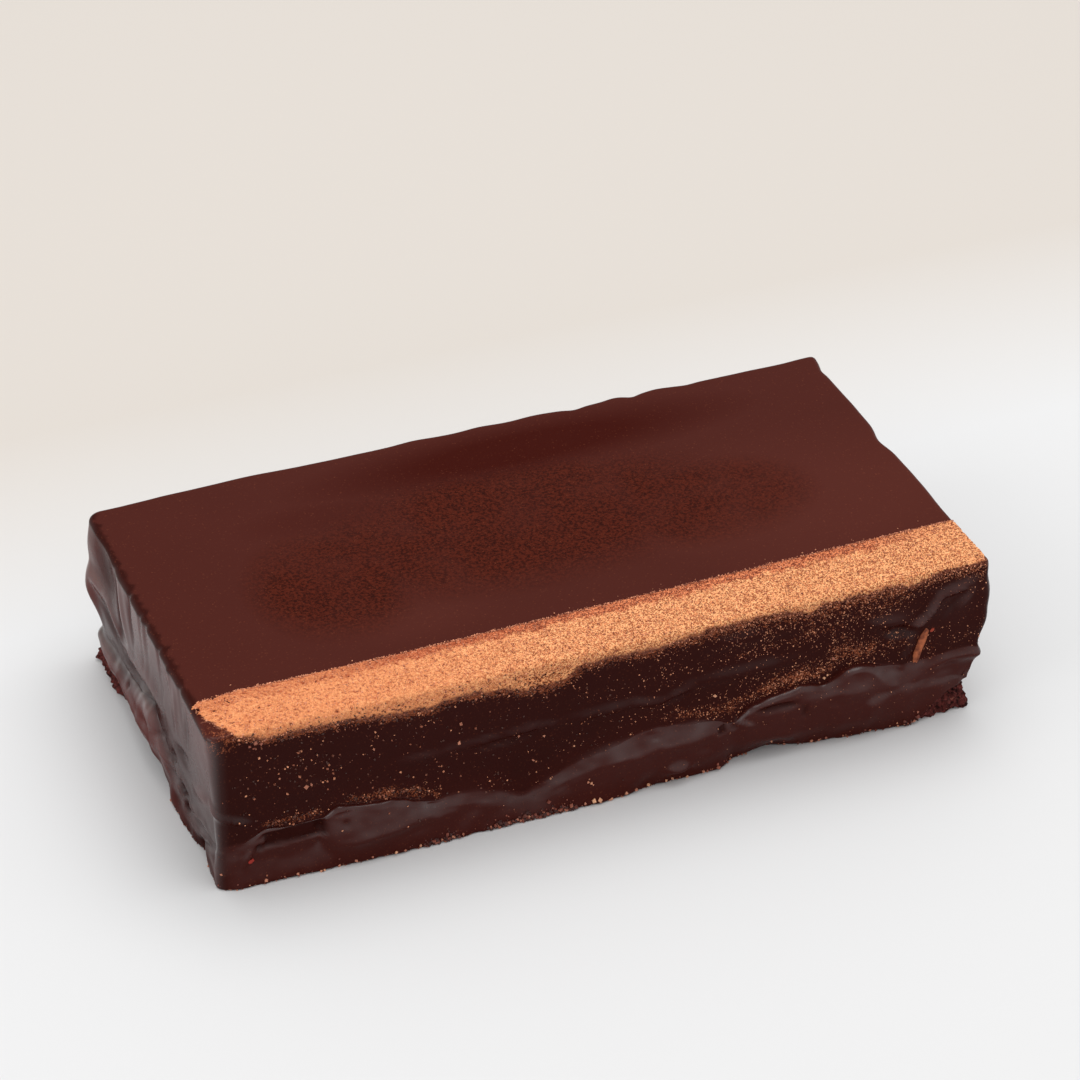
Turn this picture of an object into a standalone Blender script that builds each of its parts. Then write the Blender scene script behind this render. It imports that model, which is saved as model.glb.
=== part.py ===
"""Yule log cake in the modern form: a rectangular bar under a poured dark chocolate coat,
which has run down into a lobed ledge and foot, on a thin crumbly biscuit base."""

from math import cos, exp, hypot, pi, sin, sqrt

import bmesh
import bpy
from mathutils import Vector, noise

MM = 0.001

# The bar, in millimetres as every size below. X runs along it, its front faces -Y, and it stands on Z = 0.
LENGTH = 221.0
WIDTH = 111.0
HEIGHT = 49.0
END_TAPER = 2.6  # the ends lean in by this much at the base
SIDE_TAPER = 0.9  # and the long sides by this much
CORNER_RADII = (3.0, 1.7, 2.0, 5.0)  # front left, front right, back right, back left, seen from above
TOP_ROUND = 1.3  # radius of the top edge

# The girth runs anticlockwise round the bar, seen from above, from the front left corner.
# A place on it is written as the start of a side plus a distance along that side.
FRONT = 0.0
RIGHT = LENGTH
BACK = LENGTH + WIDTH
LEFT = 2.0 * LENGTH + WIDTH
GIRTH = 2.0 * (LENGTH + WIDTH)
SIDES = (
    # start, length, direction, half of the bar across it
    (FRONT, LENGTH, (1.0, 0.0), WIDTH / 2.0),
    (RIGHT, WIDTH, (0.0, 1.0), LENGTH / 2.0),
    (BACK, LENGTH, (-1.0, 0.0), WIDTH / 2.0),
    (LEFT, WIDTH, (0.0, -1.0), LENGTH / 2.0),
)

# Lobes of the ledge where the coat pooled: middle on the girth, half width, height of the crest,
# how far it juts out, and how deep its rounded shoulder is.
LOBES = (
    (FRONT + 21.0, 12.0, 15.7, 1.6, 3.0),
    (FRONT + 40.0, 17.0, 17.4, 2.5, 5.4),
    (FRONT + 70.0, 22.0, 12.4, 1.5, 6.5),
    (FRONT + 124.0, 30.0, 18.4, 2.4, 5.4),
    (FRONT + 163.0, 16.5, 21.2, 2.5, 5.0),
    (FRONT + 184.0, 10.0, 23.4, 2.0, 4.4),
    (FRONT + 213.0, 24.0, 20.4, 1.6, 5.5),
    (RIGHT + 23.0, 22.0, 16.8, 1.8, 5.0),
    (RIGHT + 59.0, 23.0, 13.6, 2.0, 4.6),
    (RIGHT + 92.0, 20.0, 17.4, 1.9, 5.0),
    (BACK + 15.0, 25.0, 15.0, 1.8, 5.0),
    (BACK + 54.0, 26.0, 18.6, 2.4, 4.8),
    (BACK + 92.0, 22.0, 13.4, 1.7, 6.0),
    (BACK + 130.0, 30.0, 16.6, 2.3, 4.8),
    (BACK + 172.0, 21.0, 19.4, 2.4, 4.6),
    (BACK + 206.0, 20.0, 14.6, 1.8, 5.0),
    (LEFT + 16.0, 24.0, 14.6, 1.2, 5.0),
    (LEFT + 52.0, 20.0, 20.4, 1.7, 5.0),
    (LEFT + 78.0, 20.0, 14.0, 1.0, 6.0),
    (LEFT + 100.0, 26.0, 11.0, 0.8, 7.0),
)
LOBE_DROP = 6.0  # how far a lobe's line falls from its crest to its half width
LEDGE_FLOOR = 7.0  # the lowest line between two lobes

# Where the foot ends on the ground, out from the leaning wall: place on the girth and distance.
FOOT_REACH = (
    (FRONT, 1.6), (FRONT + 7.0, 3.0), (FRONT + 40.0, 3.8), (FRONT + 114.0, 3.6), (FRONT + 122.0, 2.0),
    (FRONT + 143.0, 1.8), (FRONT + 149.0, -1.0), (FRONT + 160.0, -2.2), (FRONT + 172.0, 0.4),
    (FRONT + 181.0, 1.6), (FRONT + 201.0, 2.4), (RIGHT - 8.0, 1.9), (RIGHT, 1.3), (RIGHT + 9.0, 0.4),
    (RIGHT + 42.0, 2.4), (RIGHT + 80.0, 1.6), (BACK, 1.0), (BACK + 23.0, 2.6), (BACK + 69.0, 1.4),
    (BACK + 111.0, 3.0), (BACK + 141.0, 0.8), (BACK + 176.0, 2.4), (BACK + 211.0, 1.2), (LEFT, 1.0),
    (LEFT + 5.0, 1.6), (LEFT + 19.0, 2.0), (LEFT + 31.0, 0.3), (LEFT + 37.0, -1.1), (LEFT + 57.0, -2.2),
    (LEFT + 64.0, 1.0), (LEFT + 70.0, 1.9), (LEFT + 85.0, 1.6), (LEFT + 92.0, 0.6), (LEFT + 101.0, 1.2),
    (LEFT + WIDTH, 1.6),
)

# Stretches where the coat stops short and the biscuit shows: start and end on the girth,
# and the lengths over which the coat's hem rises at the start and comes down at the end.
BARE_STRETCHES = (
    (RIGHT - 17.0, RIGHT + 42.0, 6.0, 6.0),
    (BACK + 69.0, BACK + 99.0, 6.0, 6.0),
    (LEFT - 4.0, LEFT + 61.0, 5.0, 5.0),
)
HEM_LIFTS = ((FRONT + 156.0, 9.0, 0.9), (BACK + 126.0, 10.0, 0.7))  # middle, half width, height

# Soft ridges and folds: both ends as (girth, height), how proud it is, and its half width.
RIDGES = (
    ((FRONT + 14.0, 7.0), (FRONT + 30.0, 9.5), 0.6, 1.5),
    ((FRONT + 32.0, 8.0), (FRONT + 60.0, 11.0), 0.6, 1.7),
    ((FRONT + 55.0, 29.0), (FRONT + 100.0, 28.0), 0.8, 1.7),
    ((FRONT + 100.0, 30.2), (FRONT + 123.0, 28.6), 0.7, 1.6),
    ((FRONT + 134.0, 30.0), (FRONT + 166.0, 30.4), 0.5, 2.2),
    ((FRONT + 145.0, 42.0), (FRONT + 159.0, 41.0), 0.5, 2.4),
    ((FRONT - 3.0, 24.0), (FRONT + 10.0, 18.0), 0.8, 1.5),
    ((RIGHT - 20.0, 32.0), (RIGHT - 5.0, 43.0), 1.3, 1.8),
    ((RIGHT - 26.0, 31.0), (RIGHT - 19.0, 32.0), -1.3, 1.6),
    ((RIGHT - 33.0, 36.0), (RIGHT - 22.0, 34.0), 0.7, 1.6),
    ((RIGHT - 2.0, 18.5), (RIGHT + 6.0, 19.0), 1.7, 2.0),
    ((RIGHT + 26.0, 34.0), (RIGHT + 70.0, 30.0), 0.8, 2.0),
    ((RIGHT + 80.0, 40.0), (RIGHT + 102.0, 31.0), 0.7, 1.8),
    ((BACK + 21.0, 28.0), (BACK + 81.0, 30.0), 0.8, 1.9),
    ((BACK + 101.0, 33.0), (BACK + 141.0, 28.0), 0.8, 1.8),
    ((BACK + 161.0, 37.0), (BACK + 191.0, 32.0), 0.7, 2.0),
    ((LEFT + 4.0, 36.0), (LEFT + 17.0, 32.0), 0.7, 2.4),
    ((LEFT + 28.0, 47.0), (LEFT + 31.0, 25.0), -0.6, 1.6),
    ((LEFT + 35.0, 47.0), (LEFT + 38.0, 28.0), 0.6, 2.2),
    ((LEFT + 31.0, 18.5), (LEFT + 59.0, 23.5), -0.9, 1.6),
    ((LEFT + 1.0, 9.6), (LEFT + 52.0, 10.0), 0.9, 2.2),
)

# Broad swellings and hollows: place on the girth, height, half width, half height, distance out.
SWELLS = (
    (RIGHT, 47.0, 5.0, 1.8, 0.5),
    (RIGHT + 1.0, 38.0, 8.0, 6.0, 2.3),
    (RIGHT, 29.0, 8.0, 5.5, 1.9),
    (RIGHT + 1.0, 8.0, 8.0, 6.5, -4.4),
    (LEFT, 39.0, 8.0, 6.0, 1.1),
    (LEFT, 26.0, 8.0, 6.5, 3.2),
    (LEFT, 13.0, 7.0, 4.0, -0.4),
)

# Pits left by burst bubbles: place on the girth, height, radius and depth.
PITS = (
    (FRONT + 11.0, 11.0, 1.2, 0.9),
    (FRONT + 28.0, 13.4, 1.6, 0.8),
    (FRONT + 142.0, 12.2, 1.3, 1.0),
    (FRONT + 157.0, 15.6, 3.2, 0.8),
    (FRONT + 167.0, 12.0, 1.8, 0.9),
    (LEFT + 75.0, 9.6, 1.8, 1.0),
    (LEFT + 77.0, 6.4, 1.5, 0.8),
)

# Waves of the top edge seen from above: place on the girth, distance out, half width.
EDGE_WAVES = (
    (RIGHT + 5.0, 0.3, 9.0),
    (RIGHT + 64.0, -1.6, 5.0),
    (RIGHT + 96.0, -0.5, 12.0),
    (RIGHT + 103.0, -0.6, 2.5),
    (BACK + 2.0, 0.8, 6.0),
    (BACK + 41.0, -1.1, 2.6),
    (BACK + 49.0, 0.9, 4.0),
    (BACK + 55.0, -0.6, 2.0),
    (BACK + 60.0, 0.9, 4.0),
    (BACK + 76.0, -1.0, 3.0),
    (BACK + 88.0, 0.6, 6.0),
    (BACK + 104.0, 0.7, 5.0),
    (BACK + 124.0, 0.8, 6.0),
    (BACK + 172.0, 0.6, 9.0),
    (LEFT - 5.0, -1.3, 13.0),
)
WAVE_DEPTH = 9.0  # how far down the wall a wave of the edge fades

# The biscuit base under the coat.
BASE_HEIGHT = 7.0
BASE_INSET = 5.6  # how far inside the bar's plan its covered edge lies
BASE_RADII = (3.0, 3.0, 3.0, 3.0)
GAP = 0.3  # between the biscuit and the coat
COAT_SKIN = 1.6  # the coat's thickness and the gap, where the hem laps over the biscuit
CRUMB_RELIEF = 0.5
# Rows of the biscuit's edge: share of its height, and how far in that row is tucked.
BASE_ROWS = ((1.0, 2.2), (0.9, 1.5), (0.66, 0.8), (0.4, 0.3), (0.16, 0.0), (0.0, 0.4))

# How finely the solids are faceted.
STATION_STEP = 3.8
WALL_ROWS = 5
SHOULDER_ROWS = 4


def smooth(t):
    """0 below 0, 1 above 1, and an easy curve between."""
    t = min(max(t, 0.0), 1.0)
    return t * t * (3.0 - 2.0 * t)


def around(s, middle):
    """Signed distance along the girth from middle to s, the short way."""
    return (s - middle + GIRTH / 2.0) % GIRTH - GIRTH / 2.0


def bell(distance):
    """1 at no distance, falling off on both sides."""
    return exp(-(distance**2))


def plan_point(s, inset, radii):
    """Point and outward normal at s on a rounded rectangle that lies inset within the bar's plan."""
    s %= GIRTH
    index = max(k for k in range(4) if s >= SIDES[k][0])
    start, length, along, half_width = SIDES[index]
    out = (along[1], -along[0])
    half_length = length / 2.0 - inset
    t = ((s - start) / length * 2.0 - 1.0) * half_length
    end = 1.0 if t > 0.0 else -1.0
    radius = radii[(index + (1 if t > 0.0 else 0)) % 4]
    over = (abs(t) - (half_length - radius)) / radius
    turn = max(over, 0.0) * pi / 4.0
    flat = t if over <= 0.0 else end * (half_length - radius)
    normal = [out[i] * cos(turn) + end * along[i] * sin(turn) for i in (0, 1)]
    point = [
        along[i] * flat + out[i] * (half_width - inset - radius) + normal[i] * radius
        for i in (0, 1)
    ]
    return Vector(point), Vector(normal)


def stations():
    """Places on the girth: even along the sides, and four steps round each corner."""
    places = []
    for index, (start, length, _, _) in enumerate(SIDES):
        first, last = CORNER_RADII[index], CORNER_RADII[(index + 1) % 4]
        span = length - first - last
        count = round(span / STATION_STEP)
        places += [start, start + first / 2.0]
        places += [start + first + span * i / count for i in range(count + 1)]
        places.append(start + length - last / 2.0)
    return places


def foot_reach(s):
    """How far the foot stands out on the ground at s."""
    s %= GIRTH
    table = FOOT_REACH + ((GIRTH, FOOT_REACH[0][1]),)
    for (s0, reach0), (s1, reach1) in zip(table, table[1:]):
        if s0 <= s <= s1:
            break
    return reach0 + (reach1 - reach0) * smooth((s - s0) / (s1 - s0))


def ledge(s):
    """Height of the ledge's line at s, how far it juts out, and its shoulder's depth."""
    lines = [crest - LOBE_DROP * (around(s, c) / half) ** 2 for c, half, crest, _, _ in LOBES]
    second, top = sorted(lines)[-2:]
    weights = [exp((line - top) / 0.8) for line in lines]
    total = sum(weights)
    jut = sum(w * lobe[3] for w, lobe in zip(weights, LOBES)) / total
    roll = sum(w * lobe[4] for w, lobe in zip(weights, LOBES)) / total
    crease = exp((second - top) / 1.2)
    return max(top, LEDGE_FLOOR), jut * (1.0 - 0.45 * crease), roll


def bare(s):
    """0 where the coat reaches the ground, 1 where it stops above the biscuit, and a ramp between."""
    most = 0.0
    for start, end, rise, fall in BARE_STRETCHES:
        away = around(s, (start + end) / 2.0)
        ramp = rise if away < 0.0 else fall
        most = max(most, ((end - start) / 2.0 - abs(away)) / ramp)
    return min(most, 1.0)


def rim_height(s):
    """Height of the coat's lower edge at s."""
    hem = sum(high * smooth(1.0 - abs(around(s, c)) / half) for c, half, high in HEM_LIFTS)
    return max((BASE_HEIGHT + 1.6 * GAP) * smooth(bare(s)), hem)


def ridge_offset(s, z):
    total = 0.0
    for (s0, z0), (s1, z1), proud, half in RIDGES:
        run, rise = s1 - s0, z1 - z0
        away = around(s, s0)
        t = (away * run + (z - z0) * rise) / (run * run + rise * rise)
        t = min(max(t, 0.0), 1.0)
        distance = hypot(away - t * run, z - z0 - t * rise)
        total += proud * bell(distance / half) * (0.35 + 0.65 * sin(pi * t))
    return total


def swell_offset(s, z):
    broad = sum(
        out * bell(hypot(around(s, c) / half, (z - height) / tall))
        for c, height, half, tall, out in SWELLS
    )
    pitted = sum(
        depth * bell(hypot(around(s, c), z - height) / radius) for c, height, radius, depth in PITS
    )
    return broad - pitted


def wall_offset(s, z):
    """How far the coat's wall stands out of the upright plan at girth s and height z."""
    point, normal = plan_point(s, 0.0, CORNER_RADII)
    taper = END_TAPER * normal.x**2 + SIDE_TAPER * normal.y**2
    lean = -taper * (1.0 - z / HEIGHT)
    line, jut, roll = ledge(s)
    depth = min(max((line - z) / roll, 0.0), 1.0)
    shoulder = jut * sqrt(depth * (2.0 - depth))
    foot_top = min(line - 1.0, 9.0)
    foot = (foot_reach(s) - jut) * smooth(1.0 - z / foot_top)
    waves = sum(out * bell(around(s, c) / half) for c, out, half in EDGE_WAVES)
    waves *= exp((z - HEIGHT) / WAVE_DEPTH)
    place = Vector((point.x, point.y, z))
    rough = 0.45 * noise.noise(place / 17.0) + 0.25 * noise.noise(place / 7.0)
    rough *= 0.35 + 0.65 * smooth((HEIGHT - z) / 8.0)
    return lean + shoulder + foot + waves + rough + ridge_offset(s, z) + swell_offset(s, z)


def base_inset(s):
    """How far inside the plan the biscuit's edge lies: it comes out where it is bare."""
    _, normal = plan_point(s, 0.0, CORNER_RADII)
    shown = END_TAPER * normal.x**2 + SIDE_TAPER * normal.y**2 + 0.4 - foot_reach(s)
    inset = BASE_INSET + (shown - BASE_INSET) * smooth(bare(s))
    if bare(s) < 1.0:
        rim = rim_height(s)
        inset = max(inset, COAT_SKIN - min(wall_offset(s, rim * part) for part in (0.0, 0.5, 1.0)))
    return inset


def wall_heights(s):
    """Heights of the coat's rows below its top edge, from the top down to the rim."""
    line, _, roll = ledge(s)
    rim = rim_height(s)
    top = HEIGHT - TOP_ROUND
    low = max(line - roll, rim + 0.45 * (line - rim))
    heights = [top + (line - top) * i / WALL_ROWS for i in range(WALL_ROWS + 1)]
    for i in range(1, SHOULDER_ROWS + 1):
        heights.append(line + (low - line) * (1.0 - cos(pi / 2.0 * i / SHOULDER_ROWS)))
    return heights + [(low + rim) / 2.0, rim]


def coat_ring(s):
    """The coat's profile at s, as points from the flat top, down the wall and up into the pocket."""
    point, normal = plan_point(s, 0.0, CORNER_RADII)
    ring = []
    for turn in (0.0, 0.5):
        z = HEIGHT - TOP_ROUND * (1.0 - cos(turn * pi / 2.0))
        out = wall_offset(s, HEIGHT) - TOP_ROUND * (1.0 - sin(turn * pi / 2.0))
        ring.append((*(point + normal * out), z))
    for z in wall_heights(s):
        ring.append((*(point + normal * wall_offset(s, z)), z))
    skin_inset = COAT_SKIN - 2.0 * GAP - wall_offset(s, rim_height(s))
    inner, _ = plan_point(s, max(base_inset(s) - 1.4 * GAP, skin_inset), BASE_RADII)
    ring.append((*inner, rim_height(s) + GAP / 2.0 * bare(s)))
    ring.append((*inner, BASE_HEIGHT + 3.0 * GAP))
    return ring


def base_ring(s):
    """The biscuit's profile at s, from its flat top down to its flat underside."""
    ring = []
    shown = smooth(2.0 * bare(s) - 1.0)
    for share, tuck in BASE_ROWS:
        z = BASE_HEIGHT * share
        point, normal = plan_point(s, base_inset(s) + tuck, BASE_RADII)
        crumb = shown * CRUMB_RELIEF * noise.noise(Vector((point.x, point.y, z * 1.7)) / 4.0)
        ring.append((*(point + normal * crumb), z))
    return ring


def lofted(name, rings):
    """Close a row of equal rings into a solid: quads between neighbours, and a cap at each end."""
    bm = bmesh.new()
    rows = [[bm.verts.new(Vector(place) * MM) for place in ring] for ring in rings]
    for near, far in zip(rows, rows[1:] + rows[:1]):
        for i in range(len(near) - 1):
            bm.faces.new((near[i], near[i + 1], far[i + 1], far[i]))
    bm.faces.new([row[0] for row in rows])
    bm.faces.new([row[-1] for row in reversed(rows)])
    bmesh.ops.triangulate(bm, faces=bm.faces[:])
    bmesh.ops.recalc_face_normals(bm, faces=bm.faces[:])
    mesh = bpy.data.meshes.new(name)
    bm.to_mesh(mesh)
    bm.free()
    mesh.shade_smooth()
    mesh.set_sharp_from_angle(angle=0.7)
    made = bpy.data.objects.new(name, mesh)
    bpy.context.scene.collection.objects.link(made)
    return made


def finish(made, colour, roughness):
    """Give the piece its own Principled material."""
    material = bpy.data.materials.new(made.name)
    material.use_nodes = True
    shader = material.node_tree.nodes["Principled BSDF"]
    shader.inputs["Base Color"].default_value = (*colour, 1.0)
    shader.inputs["Roughness"].default_value = roughness
    shader.inputs["Metallic"].default_value = 0.0
    made.data.materials.append(material)


def main():
    for old in list(bpy.data.objects):
        bpy.data.objects.remove(old, do_unlink=True)

    places = stations()
    coat = lofted("coated_cake", [coat_ring(s) for s in places])
    finish(coat, (0.060, 0.018, 0.012), 0.3)

    base = lofted("biscuit_base", [base_ring(s) for s in places])
    finish(base, (0.085, 0.028, 0.018), 0.8)


main()
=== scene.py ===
# Yule log cake: a straight bar under a poured dark chocolate coat, with copper powder along its front edge
from math import cos, pi, radians, sin

import bmesh
import bpy
import numpy as np
from mathutils import Matrix, Vector, noise
from mathutils.bvhtree import BVHTree


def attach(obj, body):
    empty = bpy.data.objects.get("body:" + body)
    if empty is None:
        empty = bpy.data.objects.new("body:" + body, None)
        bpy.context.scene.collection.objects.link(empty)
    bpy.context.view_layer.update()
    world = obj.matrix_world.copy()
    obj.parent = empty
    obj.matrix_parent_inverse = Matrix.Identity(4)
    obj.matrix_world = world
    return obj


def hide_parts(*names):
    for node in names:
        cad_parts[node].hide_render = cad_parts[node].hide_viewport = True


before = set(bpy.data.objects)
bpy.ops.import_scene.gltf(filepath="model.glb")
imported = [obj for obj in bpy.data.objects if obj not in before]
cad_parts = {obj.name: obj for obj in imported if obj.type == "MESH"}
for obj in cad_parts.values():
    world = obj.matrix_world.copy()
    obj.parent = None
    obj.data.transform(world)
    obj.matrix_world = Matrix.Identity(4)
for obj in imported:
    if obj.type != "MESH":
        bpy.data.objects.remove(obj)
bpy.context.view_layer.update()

mm = 0.001
rng = np.random.default_rng(24)
scene = bpy.context.scene

# the bar, in millimetres like every size below; it runs along X and its front faces -Y
cake = {
    "length": 221.0,
    "width": 111.0,
    "height": 49.0,
    "endLean": 2.6,  # the ends lean in by this much at the base
    "sideLean": 0.9,
    "cornerRadii": (3.0, 1.7, 1.5, 5.0),  # front left, front right, back right, back left
    "edgeRound": 1.3,
    "baseHeight": 7.0,
    "pocket": 8.2,  # height of the coat's floor above the biscuit
}

# a place on the girth is a distance round the bar, from the front left corner along the front first
right = cake["length"]
back = right + cake["width"]
left = back + cake["length"]
girth = left + cake["width"]
sideStart = np.array((0.0, right, back, left))
sideLength = np.array((cake["length"], cake["width"]) * 2)
sideAlong = np.array(((1.0, 0.0), (0.0, 1.0), (-1.0, 0.0), (0.0, -1.0)))
halfAcross = np.array((cake["width"], cake["length"]) * 2) / 2
frontY = -cake["width"] / 2


def onSide(start, rows, places=(0,)):
    # rows whose values at these places are distances along a side, from its start on the girth
    return tuple(tuple(start + v if k in places else v for k, v in enumerate(row)) for row in rows)


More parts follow.
